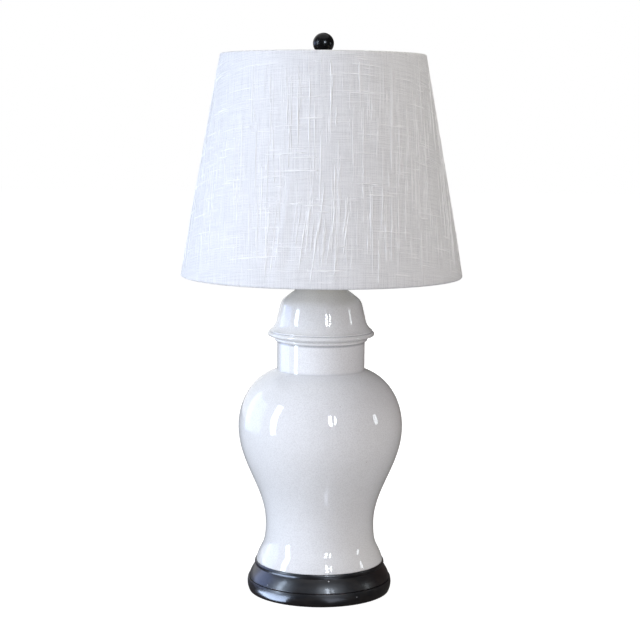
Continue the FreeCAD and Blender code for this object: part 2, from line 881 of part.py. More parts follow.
def make_switch_knob():
    """A turned knob: stem, fluted grip and domed end, on an axis along the front direction."""
    start = shell_radius + knob_standoff
    stem = start + knob_stem_length
    end = stem + knob_grip_length
    blind = stem + knob_grip_length / 2 + face_gap
    bore = switch_shaft_radius + turn_gap
    knob = turned(
        point(bore, start),
        [point(knob_stem_radius, start)],
        [point(knob_stem_radius, stem)],
        [point(knob_grip_radius, stem)],
        [point(knob_grip_radius, end)],
        shallow_dome(knob_grip_radius, end, knob_dome),
        [point(0, blind)],
        [point(bore, blind)],
    )
    for turn in range(knob_flutes):
        angle = 2 * math.pi * turn / knob_flutes
        foot = Vector(knob_grip_radius * math.cos(angle), knob_grip_radius * math.sin(angle), start)
        knob = knob.cut(Part.makeCylinder(knob_flute_radius, end + knob_dome - start, foot))
    knob.rotate(CENTRE, RIGHT, 90)
    return knob.translated(UP * switch_z)


# ---- Bulb
def make_bulb_contact():
    """The domed centre contact, which is the lowest piece of the bulb."""
    top_z = bulb_z + bulb_contact_thickness
    half_z = (bulb_z + top_z) / 2
    return turned(
        point(0, bulb_z),
        [point(bulb_contact_radius * 0.6, bulb_z)],
        [point(bulb_contact_radius * 0.9, between(bulb_z, half_z, 0.4)), point(bulb_contact_radius, half_z)],
        [point(bulb_contact_radius, top_z)],
        [point(0, top_z)],
    )


def make_bulb_insulator():
    """The dark glass cone between the centre contact and the screw base."""
    low_z = bulb_z + bulb_contact_thickness
    high_z = low_z + bulb_insulator_height
    edge = bulb_thread_radius - bulb_thread_depth - bulb_base_wall - skin_gap
    return turned(
        point(0, low_z), [point(bulb_contact_radius, low_z)], [point(edge, high_z)], [point(0, high_z)]
    )


def bulb_base_low_z():
    return bulb_z + bulb_contact_thickness + bulb_insulator_height * 0.5


def make_bulb_base():
    """The screw base: a thin cup with one rounded ridge for each turn of its thread."""
    root = bulb_thread_radius - bulb_thread_depth
    inner = root - bulb_base_wall
    low_z = bulb_base_low_z()
    steps = [[point(root, low_z)]]
    ridge_z = low_z
    for turn in range(bulb_thread_turns):
        top_z = ridge_z + bulb_thread_pitch
        steps.append([point(bulb_thread_radius, (ridge_z + top_z) / 2), point(root, top_z)])
        ridge_z = top_z
    skirt_z = ridge_z + bulb_skirt_height
    steps.append([point(bulb_thread_radius, skirt_z)])
    steps.append([point(bulb_thread_radius - bulb_base_wall, skirt_z)])
    steps.append([point(inner, ridge_z)])
    return turned(point(inner, low_z), *steps)


def bulb_skirt_z():
    return bulb_base_low_z() + bulb_thread_pitch * bulb_thread_turns + bulb_skirt_height


def bulb_outline(inset, low_z):
    """The bulb's side from its neck to its tip, set in by the glass's thickness."""
    neck_z = bulb_skirt_z() + face_gap
    tip_z = bulb_z + bulb_length
    wide_z = tip_z - bulb_radius
    neck = bulb_neck_radius - inset
    wide = bulb_radius - inset
    slope = math.sqrt(0.5)
    return (
        point(0, low_z),
        [point(bulb_neck_radius - bulb_thread_depth - bulb_glass_wall - inset, low_z)],
        [point(bulb_neck_radius - bulb_thread_depth - bulb_glass_wall - inset, neck_z)],
        [point(neck, neck_z + bulb_glass_wall)],
        [
            point(neck, between(neck_z, wide_z, 0.42)),
            point(wide, between(neck_z, wide_z, 0.5)),
            point(wide, wide_z),
        ],
        [point(wide * slope, wide_z + wide * slope), point(0, wide_z + wide)],
    )


def make_bulb_glass():
    """The frosted envelope, a thin closed shell on its sealed foot."""
    low_z = bulb_skirt_z() - bulb_glass_socketed
    outer = turned(*bulb_outline(0, low_z))
    inner = turned(*bulb_outline(bulb_glass_wall, low_z))
    return outer.cut(inner)


def make_bulb_stem():
    """The glass stem that carries the filament, flared where it seals the envelope."""
    low_z = bulb_skirt_z() - bulb_glass_socketed
    flare = bulb_neck_radius - bulb_thread_depth - bulb_glass_wall * 2 - skin_gap
    return turned(
        point(0, low_z),
        [point(flare, low_z)],
        [point(flare, low_z + bulb_glass_wall)],
        [
            point(bulb_stem_radius, low_z + bulb_glass_wall * 2),
            point(bulb_stem_radius, low_z + bulb_glass_wall * 4),
            point(bulb_stem_radius, low_z + bulb_glass_wall * 8),
        ],
        [point(bulb_stem_radius, bulb_z + bulb_stem_height)],
        [point(0, bulb_z + bulb_stem_height)],
    )


def make_bulb_filament():
    """Two support wires standing on the stem, with the filament stretched between them."""
    foot_z = bulb_z + bulb_stem_height
    top_z = bulb_z + filament_height
    foot = Vector(bulb_stem_radius / 2, 0, foot_z)
    top = Vector(filament_half_width, 0, top_z)
    left_foot = Vector(-foot.x, 0, foot_z)
    left_top = Vector(-top.x, 0, top_z)
    wire = bar(filament_wire_radius, foot, top).fuse(bar(filament_wire_radius, left_foot, left_top))
    for corner in (top, left_top):
        wire = wire.fuse(Part.makeSphere(filament_wire_radius, corner))
    wire = wire.fuse(bar(filament_wire_radius, left_top, top))
    below = Part.makeBox(
        bulb_stem_radius * 2,
        bulb_stem_radius * 2,
        filament_wire_radius * 2,
        Vector(-bulb_stem_radius, -bulb_stem_radius, foot_z - filament_wire_radius * 2),
    )
    return wire.cut(below)


# ---- Shade
def shade_place(along, inward):
    """A point of the shade's section: along the slope from the bottom edge, and in from its face."""
    lean = shade_bottom_radius - shade_top_radius
    slope = math.hypot(lean, shade_height)
    radius = shade_bottom_radius - (along * lean + inward * shade_height) / slope
    height = shade_bottom_z + (along * shade_height - inward * lean) / slope
    return point(radius, height)


def shade_slope():
    return math.hypot(shade_bottom_radius - shade_top_radius, shade_height)


ring_inset = shade_cloth + skin_gap + shade_ring_radius


def make_shade_cover():
    """The cloth: the sloping drum, with each edge rolled round its ring and slit at each spoke."""
    slope = shade_slope()
    roll = ring_inset
    inner_roll = roll - shade_cloth
    high = slope - roll
    cloth = turned(
        shade_place(roll, 0),
        [shade_place(high, 0)],
        [shade_place(slope, roll), shade_place(high, roll * 2)],
        [shade_place(high, roll * 2 - shade_cloth)],
        [shade_place(high + inner_roll, roll), shade_place(high, shade_cloth)],
        [shade_place(roll, shade_cloth)],
        [shade_place(roll - inner_roll, roll), shade_place(roll, roll * 2 - shade_cloth)],
        [shade_place(roll, roll * 2)],
        [shade_place(0, roll), shade_place(roll, 0)],
    )
    for slit in spokes(spider_spoke_radius + skin_gap):
        cloth = cloth.cut(slit)
    return cloth


def make_shade_liner():
    """The stiff backing behind the cloth, from ring to ring."""
    start = ring_inset + shade_ring_radius + skin_gap
    end = shade_slope() - start
    outer = shade_cloth + skin_gap
    inner = outer + shade_backing
    return turned(
        shade_place(start, outer),
        [shade_place(end, outer)],
        [shade_place(end, inner)],
        [shade_place(start, inner)],
    )


def shade_ring(along):
    """A wire ring on the shade's slope."""
    middle = shade_place(along, ring_inset)
    return Part.makeTorus(middle.x, shade_ring_radius, point(0, middle.z), UP)


def make_shade_bottom_ring():
    return shade_ring(ring_inset)


def spokes(radius):
    """Round bars from the washer up to the middle of the top ring, evenly spaced from the back."""
    ring_middle = shade_place(shade_slope() - ring_inset, ring_inset)
    spoke_z = shade_rest_z + spider_washer_thickness / 2
    bars = []
    for turn in range(spider_spokes):
        angle = 2 * math.pi * turn / spider_spokes + math.pi / 2
        direction = Vector(math.cos(angle), math.sin(angle), 0)
        start = direction * (spider_washer_radius - spider_spoke_radius) + UP * spoke_z
        bars.append(bar(radius, start, direction * ring_middle.x + UP * ring_middle.z))
    return bars


def make_shade_washer():
    """The washer that sits on the harp's stud and that the finial holds down."""
    return tube(spider_washer_radius, stud_radius + turn_gap, shade_rest_z, washer_top_z)


def make_shade_top_ring():
    return shade_ring(shade_slope() - ring_inset)


def make_shade_spoke(turn):
    """A sloping wire from the washer's edge to the top ring, welded at both ends."""
    spoke = spokes(spider_spoke_radius)[turn]
    washer_end = Part.makeCylinder(
        spider_washer_radius + weld_gap,
        spider_spoke_radius * 4,
        point(0, shade_rest_z - spider_spoke_radius),
    )
    ring_middle = shade_place(shade_slope() - ring_inset, ring_inset)
    ring_end = Part.makeTorus(
        ring_middle.x, shade_ring_radius + weld_gap, point(0, ring_middle.z), UP
    )
    return spoke.cut(washer_end).cut(ring_end).Solids[0]


# ---- Finial
def make_finial_insert():
    """The brass thread of the finial, drawn as a plain sleeve on the stud."""
    return tube(finial_insert_radius, stud_radius + turn_gap, finial_z, finial_z + finial_insert_length)


def make_finial_ball():
    """The ball with its short neck and foot, bored for the insert."""
    centre_z = washer_top_z + finial_height - finial_ball_radius
    foot_top = finial_z + finial_foot_height
    bore = finial_insert_radius + turn_gap
    insert_top = finial_z + finial_insert_length
    drop = math.sqrt(finial_ball_radius**2 - finial_neck_radius**2)
    waist_z = between(foot_top, centre_z - drop, 0.6)
    ball = turned(
        point(bore, finial_z),
        [point(finial_foot_radius, finial_z)],
        [point(finial_foot_radius, foot_top)],
        [point(finial_neck_radius, foot_top), point(finial_neck_radius, waist_z),
         point(finial_neck_radius, centre_z - drop)],
        [point(finial_ball_radius, centre_z), point(0, centre_z + finial_ball_radius)],
        [point(0, insert_top + finial_bore_end)],
        [point(stud_radius, insert_top + finial_bore_end)],
        [point(stud_radius, insert_top)],
        [point(bore, insert_top)],
    )
    return ball


PIECES = {
    "felt_pad": make_felt_pad,
    "base": make_base,
    "cord_bushing": make_cord_bushing,
    "base_washer": make_base_washer,
    "base_lock_washer": make_base_lock_washer,
    "base_nut": make_base_nut,
    "threaded_rod": make_threaded_rod,
    "jar_body": make_jar_body,
    "jar_lid": make_jar_lid,
    "vase_cap": make_vase_cap,
    "check_ring": make_check_ring,
    "lamp_neck": make_lamp_neck,
    "harp_saddle": make_harp_saddle,
    "socket_cap": make_socket_cap,
    "socket_set_screw": make_socket_set_screw,
    "socket_shell": make_socket_shell,
    "socket_insulator": make_socket_insulator,
    "socket_body": make_socket_body,
    "terminal_screws": make_terminal_screws,
    "socket_screw_shell": make_socket_screw_shell,
    "socket_contact": make_socket_contact,
    "switch_shaft": make_switch_shaft,
    "switch_knob": make_switch_knob,
    "bulb_contact": make_bulb_contact,
    "bulb_insulator": make_bulb_insulator,
    "bulb_base": make_bulb_base,
    "bulb_glass": make_bulb_glass,
    "bulb_stem": make_bulb_stem,
    "bulb_filament": make_bulb_filament,
    "harp": make_harp,
    "harp_stud": make_harp_stud,
    "harp_sleeve_left": lambda: make_sleeve(-1),
    "harp_sleeve_right": lambda: make_sleeve(1),
    "shade_washer": make_shade_washer,
    "shade_top_ring": make_shade_top_ring,
    "shade_spoke_back": lambda: make_shade_spoke(0),
    "shade_spoke_left": lambda: make_shade_spoke(1),
    "shade_spoke_right": lambda: make_shade_spoke(2),
    "shade_bottom_ring": make_shade_bottom_ring,
    "shade_liner": make_shade_liner,
    "shade_cover": make_shade_cover,
    "finial_insert": make_finial_insert,
    "finial_ball": make_finial_ball,
}

os.makedirs("parts", exist_ok=True)
for name, make in PIECES.items():
    shape = make()
    print(f"{name:20s} valid {shape.isValid()} solids {len(shape.Solids)} volume {shape.Volume:.1f}")
    shape.exportStep(f"parts/{name}.step")
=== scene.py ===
import math

import bpy
import numpy as np
from mathutils import Matrix, Vector


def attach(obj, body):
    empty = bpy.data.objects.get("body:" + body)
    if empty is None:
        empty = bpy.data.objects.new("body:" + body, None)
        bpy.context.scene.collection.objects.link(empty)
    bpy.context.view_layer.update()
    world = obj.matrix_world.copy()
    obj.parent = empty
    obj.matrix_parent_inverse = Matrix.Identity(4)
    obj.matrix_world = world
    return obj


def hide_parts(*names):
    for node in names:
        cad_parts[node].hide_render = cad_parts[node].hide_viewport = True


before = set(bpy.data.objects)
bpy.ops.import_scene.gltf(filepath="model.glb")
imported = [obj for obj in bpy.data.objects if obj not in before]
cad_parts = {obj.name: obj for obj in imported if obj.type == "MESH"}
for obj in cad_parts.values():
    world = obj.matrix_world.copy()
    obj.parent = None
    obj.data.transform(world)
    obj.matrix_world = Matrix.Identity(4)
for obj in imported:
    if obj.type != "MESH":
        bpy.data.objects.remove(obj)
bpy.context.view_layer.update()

# A ginger jar lamp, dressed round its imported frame. +Z is up along the lamp's axis, the table is
# z = 0 and the front faces -Y. The scene is in metres. The new surfaces are worked out in mm, and
# MM brings them to metres where their meshes are made.

MM = 0.001
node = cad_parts


# ---- Shader building
def add(tree, kind, inputs=None, **settings):
    """One shader node with its settings and its inputs, each a value or the output that feeds it."""
    made = tree.nodes.new("ShaderNode" + kind)
    for name, value in settings.items():
        setattr(made, name, value)
    for key, value in (inputs or {}).items():
        if isinstance(value, bpy.types.NodeSocket):
            tree.links.new(value, made.inputs[key])
        else:
            made.inputs[key].default_value = value
    return made


def blank_material(name):
    """A new material and its emptied node tree."""
    made = bpy.data.materials.new(name)
    made.use_nodes = True
    made.node_tree.nodes.clear()
    return made, made.node_tree


def rgba(colour):
    return (*colour, 1.0)


def math_node(tree, operation, *values):
    return add(tree, "Math", dict(enumerate(values)), operation=operation).outputs[0]


def mix_colours(tree, share, low, high):
    """The colour low where share is 0, high where it is 1, and a blend between."""
    return add(tree, "Mix", {0: share, 6: low, 7: high}, data_type="RGBA").outputs[2]


def rise(tree, value, start, end, low=0.0, high=1.0):
    """The value brought smoothly from low at start to high at end."""
    inputs = {"Value": value, "From Min": start, "From Max": end, "To Min": low, "To Max": high}
    return add(tree, "MapRange", inputs, interpolation_type="SMOOTHSTEP").outputs["Result"]


def stretched(tree, place, scale):
    return add(tree, "Mapping", {"Vector": place, "Scale": scale}).outputs[0]


def noise(tree, place, scale, detail=2.0, roughness=0.5, distortion=0.0):
    inputs = {"Vector": place, "Scale": scale, "Detail": detail, "Roughness": roughness}
    return add(tree, "TexNoise", {**inputs, "Distortion": distortion}).outputs[0]


def bump(tree, height, strength, distance, normal=None):
    inputs = {"Height": height, "Strength": strength, "Distance": distance}
    if normal is not None:
        inputs["Normal"] = normal
    return add(tree, "Bump", inputs).outputs[0]


def effect(name, inputs, outputs, wire):
    """An effect that several materials share: a node group with named inputs and outputs."""
    group = bpy.data.node_groups.new(name, "ShaderNodeTree")
    for way, sockets in (("INPUT", inputs), ("OUTPUT", outputs)):
        for label, kind in sockets.items():
            group.interface.new_socket(label, in_out=way, socket_type="NodeSocket" + kind)
    source = group.nodes.new("NodeGroupInput")
    sink = group.nodes.new("NodeGroupOutput")
    for label, value in wire(group, source.outputs).items():
        group.links.new(value, sink.inputs[label])
    return group


def use(tree, group, inputs):
    """A shared effect placed in a material with that material's own values."""
    return add(tree, "Group", inputs, node_tree=group).outputs


# ---- Effects that the finishes share
def wire_uneven_tone(tree, given):
    """Two close tones in soft patches, from broad noise and about a third as much finer noise."""
    broad = noise(tree, given["Place"], given["Scale"], detail=3.0, roughness=0.6)
    fine_scale = math_node(tree, "MULTIPLY", given["Scale"], 9.0)
    fine = noise(tree, given["Place"], fine_scale, detail=2.0)
    both = math_node(tree, "ADD", math_node(tree, "MULTIPLY", fine, 0.35), broad)
    share = rise(tree, both, 0.5, 0.85)
    return {"Colour": mix_colours(tree, share, given["Light"], given["Deep"]), "Share": share}


uneven_tone = effect(
    "uneven_tone",
    {"Place": "Vector", "Scale": "Float", "Light": "Color", "Deep": "Color"},
    {"Colour": "Color", "Share": "Float"},
    wire_uneven_tone,
)


def wire_fine_grain(tree, given):
    """A fine even grain as a bump."""
    grain = noise(tree, given["Place"], given["Scale"], detail=3.0, roughness=0.6)
    return {"Normal": bump(tree, grain, given["Strength"], given["Depth"])}


fine_grain = effect(
    "fine_grain",
    {"Place": "Vector", "Scale": "Float", "Strength": "Float", "Depth": "Float"},
    {"Normal": "Vector"},
    wire_fine_grain,
)


def wire_specks(tree, given):
    """Small dots, one in some of the cells of a cell pattern, of uneven size."""
    inputs = {"Vector": given["Place"], "Scale": given["Scale"], "Randomness": 1.0}
    cells = add(tree, "TexVoronoi", inputs, feature="F1")
    parts = add(tree, "SeparateColor", {0: cells.outputs["Color"]})
    chosen = math_node(tree, "LESS_THAN", parts.outputs[0], given["Share"])
    size = math_node(tree, "MULTIPLY_ADD", parts.outputs[1], 0.16, 0.05)
    edge = math_node(tree, "MULTIPLY", size, 0.55)
    near = add(
        tree,
        "MapRange",
        {"Value": cells.outputs["Distance"], "From Min": size, "From Max": edge},
        interpolation_type="SMOOTHSTEP",
    ).outputs["Result"]
    return {"Mask": math_node(tree, "MULTIPLY", near, chosen)}


specks = effect(
    "specks",
    {"Place": "Vector", "Scale": "Float", "Share": "Float"},
    {"Mask": "Float"},
    wire_specks,
)


def wire_edge_wear(tree, given):
    """Where a ball rolled over the surface would lose touch with it, broken up by noise."""
    rounded = add(tree, "Bevel", {"Radius": given["Reach"]}, samples=6).outputs[0]
    flat = add(tree, "NewGeometry").outputs["Normal"]
    facing = add(tree, "VectorMath", {0: rounded, 1: flat}, operation="DOT_PRODUCT").outputs["Value"]
    edge = rise(tree, facing, 0.995, 0.93)
    patch = noise(tree, given["Place"], given["Scale"], detail=4.0, roughness=0.65)
    worn = rise(tree, patch, given["Start"], math_node(tree, "ADD", given["Start"], 0.16))
    return {"Mask": math_node(tree, "MULTIPLY", edge, worn), "Normal": rounded}


edge_wear = effect(
    "edge_wear",
    {"Place": "Vector", "Reach": "Float", "Scale": "Float", "Start": "Float"},
    {"Mask": "Float", "Normal": "Vector"},
    wire_edge_wear,
)


def wire_metal_finish(tree, given):
    """Fine marks that run round the axis, a film of tarnish in patches, and softened edges."""
    ringed = stretched(tree, given["Place"], (120.0, 120.0, 4200.0))
    marks = noise(tree, ringed, 1.0, detail=3.0, roughness=0.7)
    film = noise(tree, given["Place"], given["Scale"], detail=5.0, roughness=0.62, distortion=0.4)
    share = math_node(tree, "MULTIPLY", rise(tree, film, 0.42, 0.72), given["Tarnish"])
    colour = mix_colours(tree, share, given["Bright"], given["Dull"])
    rough = math_node(tree, "MULTIPLY_ADD", share, 0.22, given["Roughness"])
    rough = math_node(tree, "MULTIPLY_ADD", marks, 0.07, rough)
    soft = add(tree, "Bevel", {"Radius": 0.00025}, samples=4).outputs[0]
    return {
        "Colour": colour,
        "Roughness": rough,
        "Normal": bump(tree, marks, given["Marks"], 0.00005, soft),
    }


metal_finish = effect(
    "metal_finish",
    {
        "Place": "Vector",
        "Bright": "Color",
        "Dull": "Color",
        "Scale": "Float",
        "Tarnish": "Float",
        "Roughness": "Float",
        "Marks": "Float",
    },
    {"Colour": "Color", "Roughness": "Float", "Normal": "Vector"},
    wire_metal_finish,
)


def wire_woven_cloth(tree, given):
    """Plain weave on a flat map in metres: threads over and under by turns, each of its own thickness
    and tone, with streaks where a thread is thick for a while."""
    parts = add(tree, "SeparateXYZ", {0: given["Flat"]})
    across, along = parts.outputs[0], parts.outputs[1]
    drift = noise(tree, given["Flat"], 55.0, detail=2.0)
    drift = math_node(tree, "MULTIPLY_ADD", drift, 0.0011, -0.00055)
    heights, tones = [], []
    for here, there, streak in ((across, along, (1700.0, 34.0, 0)), (along, across, (38.0, 1900.0, 0))):
        count = math_node(tree, "DIVIDE", math_node(tree, "ADD", here, drift), given["Thread"])
        wave = math_node(tree, "SINE", math_node(tree, "MULTIPLY", count, math.tau))
        other = math_node(tree, "DIVIDE", there, given["Thread"])
        over = math_node(tree, "SINE", math_node(tree, "MULTIPLY", other, math.pi))
        swell = noise(tree, stretched(tree, given["Flat"], streak), 0.6, detail=2.0, roughness=0.7)
        ridge = math_node(tree, "MULTIPLY_ADD", wave, 0.5, 0.5)
        lifted = math_node(tree, "MULTIPLY_ADD", over, 0.18, swell)
        heights.append(math_node(tree, "MULTIPLY", ridge, lifted))
        tones.append(swell)
    height = math_node(tree, "MAXIMUM", heights[0], heights[1])
    tone = math_node(tree, "MULTIPLY", math_node(tree, "ADD", tones[0], tones[1]), 0.5)
    fluff = noise(tree, given["Flat"], 520.0, detail=3.0, roughness=0.7)
    height = math_node(tree, "MULTIPLY_ADD", fluff, 0.35, height)
    gap = rise(tree, height, 0.54, 0.16)
    colour = mix_colours(tree, rise(tree, tone, 0.36, 0.62), given["Deep"], given["Light"])
    colour = mix_colours(tree, math_node(tree, "MULTIPLY", gap, 0.75), colour, given["Gap"])
    return {"Colour": colour, "Height": height, "Tone": tone}


woven_cloth = effect(
    "woven_cloth",
    {"Flat": "Vector", "Thread": "Float", "Light": "Color", "Deep": "Color", "Gap": "Color"},
    {"Colour": "Color", "Height": "Float", "Tone": "Float"},
    wire_woven_cloth,
)


# ---- Finishes
def finish(name, wire, **constants):
    """A material: wire gives what varies over the surface, and the constants sit on the shader."""
    made, tree = blank_material(name)
    place = add(tree, "TexCoord").outputs["Object"]
    fixed = {label.replace("_", " "): value for label, value in constants.items()}
    shader = add(tree, "BsdfPrincipled", {**fixed, **wire(tree, place)})
    add(tree, "OutputMaterial", {"Surface": shader.outputs[0]})
    return made


def two_tones(tree, place, scale, light, deep):
    """The shared uneven tone with a material's own scale and colours."""
    given = {"Place": place, "Scale": scale, "Light": rgba(light), "Deep": rgba(deep)}
    return use(tree, uneven_tone, given)


def glaze_wire(tree, place):
    """White glaze: painted shade as a dark grey tint in the hollows, more so from the jar's lip up, thin
    over the edges, and with faint pinholes."""
    hollow = add(tree, "Attribute", attribute_name="hollow").outputs["Fac"]
    tone = two_tones(tree, place, 9.0, (0.885, 0.885, 0.885), (0.855, 0.853, 0.850))["Colour"]
    height = add(tree, "SeparateXYZ", {0: place}).outputs["Z"]
    neck_z, lip_z = 0.300, 0.318
    # Painted shade: the hollows are tinted dark grey, faintly low on the jar and strongly from just below
    # its lip up
    deep = rise(tree, height, neck_z, lip_z, 0.25, 0.90)
    painted_crease_shade = math_node(tree, "MULTIPLY", rise(tree, hollow, 0.55, 0.95), deep)
    tone = mix_colours(tree, painted_crease_shade, tone, rgba((0.40, 0.41, 0.43)))
    mottle = noise(tree, place, 700.0, detail=2.0, roughness=0.6)
    tone = mix_colours(tree, rise(tree, mottle, 0.35, 0.7, 0.0, 0.55), tone, rgba((0.70, 0.695, 0.69)))
    thin = rise(tree, hollow, 0.45, 0.05)
    tone = mix_colours(tree, math_node(tree, "MULTIPLY", thin, 0.30), tone, rgba((0.74, 0.725, 0.70)))
    pits = use(tree, specks, {"Place": place, "Scale": 210.0, "Share": 0.035})["Mask"]
    tone = mix_colours(tree, math_node(tree, "MULTIPLY", pits, 0.5), tone, rgba((0.42, 0.38, 0.34)))
    smear = noise(tree, place, 26.0, detail=4.0, roughness=0.65)
    rough = rise(tree, smear, 0.4, 0.75, 0.03, 0.075)
    wave = noise(tree, stretched(tree, place, (22.0, 22.0, 14.0)), 1.0, detail=2.0, roughness=0.4)
    normal = bump(tree, wave, 0.10, 0.004)
    peel = noise(tree, place, 340.0, detail=2.0)
    normal = bump(tree, peel, 0.05, 0.0003, normal)
    normal = bump(tree, math_node(tree, "MULTIPLY", pits, -1.0), 0.4, 0.0004, normal)
    return {"Base Color": tone, "Roughness": rough, "Normal": normal}


def black_wood_wire(tree, place):
    """Ebonised wood: grain that runs through the block, brown where the edges are rubbed, dust."""
    board = stretched(tree, place, (9.0, 160.0, 160.0))
    grain = noise(tree, board, 1.0, detail=5.0, roughness=0.62, distortion=0.5)
    black, brown = rgba((0.0045, 0.0045, 0.0065)), rgba((0.013, 0.011, 0.0105))
    colour = mix_colours(tree, rise(tree, grain, 0.35, 0.7), black, brown)
    worn = use(tree, edge_wear, {"Place": place, "Reach": 0.0009, "Scale": 42.0, "Start": 0.50})
    rubbed = math_node(tree, "MULTIPLY", worn["Mask"], 0.85)
    colour = mix_colours(tree, rubbed, colour, rgba((0.075, 0.036, 0.024)))
    dust = use(tree, specks, {"Place": place, "Scale": 170.0, "Share": 0.03})["Mask"]
    colour = mix_colours(tree, math_node(tree, "MULTIPLY", dust, 0.8), colour, rgba((0.55, 0.55, 0.57)))
    film = noise(tree, place, 30.0, detail=4.0, roughness=0.6)
    rough = rise(tree, film, 0.35, 0.7, 0.32, 0.44)
    rough = math_node(tree, "MULTIPLY_ADD", worn["Mask"], 0.15, rough)
    normal = bump(tree, grain, 0.22, 0.0004, worn["Normal"])
    fine = noise(tree, place, 1300.0, detail=2.0)
    normal = bump(tree, fine, 0.12, 0.0001, normal)
    return {"Base Color": colour, "Roughness": rough, "Normal": normal}


def black_satin_wire(tree, place):
    """Black lacquer on the finial: an even satin film with rubbed edges and fine brushing."""
    film = noise(tree, place, 90.0, detail=3.0, roughness=0.55)
    black, lifted = rgba((0.0035, 0.0035, 0.0045)), rgba((0.007, 0.0065, 0.007))
    colour = mix_colours(tree, rise(tree, film, 0.35, 0.7), black, lifted)
    worn = use(tree, edge_wear, {"Place": place, "Reach": 0.0006, "Scale": 160.0, "Start": 0.55})
    rubbed = math_node(tree, "MULTIPLY", worn["Mask"], 0.5)
    colour = mix_colours(tree, rubbed, colour, rgba((0.05, 0.04, 0.035)))
    rough = rise(tree, film, 0.35, 0.7, 0.20, 0.30)
    fine = noise(tree, stretched(tree, place, (900.0, 900.0, 200.0)), 1.0, detail=2.0)
    normal = bump(tree, fine, 0.10, 0.0001, worn["Normal"])
    return {"Base Color": colour, "Roughness": rough, "Normal": normal}


def linen_wire(tree, place):
    """Off-white linen, with the weave on its flat cut, so the threads run straight on the cloth."""
    flat = add(tree, "UVMap", uv_map="flat").outputs[0]
    given = {"Flat": flat, "Thread": 0.0010, "Light": rgba((0.880, 0.880, 0.882))}
    given |= {"Deep": rgba((0.745, 0.743, 0.748)), "Gap": rgba((0.45, 0.45, 0.47))}
    cloth = use(tree, woven_cloth, given)
    return {
        "Base Color": cloth["Colour"],
        "Roughness": rise(tree, cloth["Tone"], 0.3, 0.7, 0.95, 0.8),
        "Normal": bump(tree, cloth["Height"], 0.55, 0.00035),
    }


def slub_wire(tree, place):
    """A thick thread of the linen: paler than the weave, with fine fibres."""
    fibre = noise(tree, stretched(tree, place, (1400.0, 1400.0, 500.0)), 1.0, detail=3.0, roughness=0.7)
    tone = two_tones(tree, place, 120.0, (0.940, 0.940, 0.940), (0.890, 0.890, 0.893))["Colour"]
    rough = rise(tree, fibre, 0.3, 0.7, 0.7, 0.92)
    return {"Base Color": tone, "Roughness": rough, "Normal": bump(tree, fibre, 0.35, 0.0002)}


def metal_wire(bright, dull, scale, tarnish, roughness, marks):
    """Turned, drawn or plated metal: the shared metal finish with this metal's own values."""

    def wire(tree, place):
        given = {"Place": place, "Bright": rgba(bright), "Dull": rgba(dull), "Scale": scale}
        given |= {"Tarnish": tarnish, "Roughness": roughness, "Marks": marks}
        made = use(tree, metal_finish, given)
        return {
            "Base Color": made["Colour"],
            "Roughness": made["Roughness"],
            "Normal": made["Normal"],
        }

    return wire


def moulded_wire(light, deep, scale, depth, roughness):
    """Moulded or sheet plastic, paper or enamel: two close tones and a fine surface grain."""

    def wire(tree, place):
        tone = two_tones(tree, place, scale, light, deep)
        given = {"Place": place, "Scale": 1500.0, "Strength": 0.25, "Depth": depth}
        grain = use(tree, fine_grain, given)
        rough = math_node(tree, "MULTIPLY_ADD", tone["Share"], 0.12, roughness)
        return {"Base Color": tone["Colour"], "Roughness": rough, "Normal": grain["Normal"]}

    return wire


def felt_wire(tree, place):
    """Wool felt: matted fibres that clump, and a little pale lint."""
    fibre = noise(tree, place, 1600.0, detail=5.0, roughness=0.75, distortion=1.2)
    clump = noise(tree, place, 150.0, detail=3.0)
    share = math_node(tree, "MULTIPLY_ADD", clump, 0.5, math_node(tree, "MULTIPLY", fibre, 0.5))
    dark, faded = rgba((0.009, 0.010, 0.010)), rgba((0.028, 0.029, 0.030))
    colour = mix_colours(tree, rise(tree, share, 0.4, 0.62), dark, faded)
    lint = use(tree, specks, {"Place": place, "Scale": 500.0, "Share": 0.03})["Mask"]
    colour = mix_colours(tree, math_node(tree, "MULTIPLY", lint, 0.6), colour, rgba((0.3, 0.3, 0.3)))
    rough = rise(tree, fibre, 0.3, 0.7, 0.85, 1.0)
    return {"Base Color": colour, "Roughness": rough, "Normal": bump(tree, fibre, 0.7, 0.0005)}


def frosted_wire(tree, place):
    """Etched glass: a milky tone, slightly uneven, with a very fine bite."""
    tone = two_tones(tree, place, 45.0, (0.90, 0.90, 0.88), (0.86, 0.86, 0.84))
    given = {"Place": place, "Scale": 2600.0, "Strength": 0.2, "Depth": 0.00005}
    grain = use(tree, fine_grain, given)
    rough = math_node(tree, "MULTIPLY_ADD", tone["Share"], 0.1, 0.38)
    return {"Base Color": tone["Colour"], "Roughness": rough, "Normal": grain["Normal"]}


finishes = {
    "white_glaze": finish("white_glaze", glaze_wire, IOR=1.5),
    "black_wood": finish(
        "black_wood", black_wood_wire, IOR=1.46, Coat_Weight=0.16, Coat_Roughness=0.13
    ),
    "white_linen": finish("white_linen", linen_wire, Sheen_Weight=0.15, Sheen_Roughness=0.5, IOR=1.4),
    "linen_slub": finish("linen_slub", slub_wire, Sheen_Weight=0.1, Sheen_Roughness=0.5, IOR=1.4),
    "felt": finish("felt", felt_wire, Sheen_Weight=0.3, Sheen_Roughness=0.6, IOR=1.4),
    "frosted_glass": finish("frosted_glass", frosted_wire, IOR=1.5, Transmission_Weight=0.35),
    "black_finial": finish("black_finial", black_satin_wire, IOR=1.3),
}

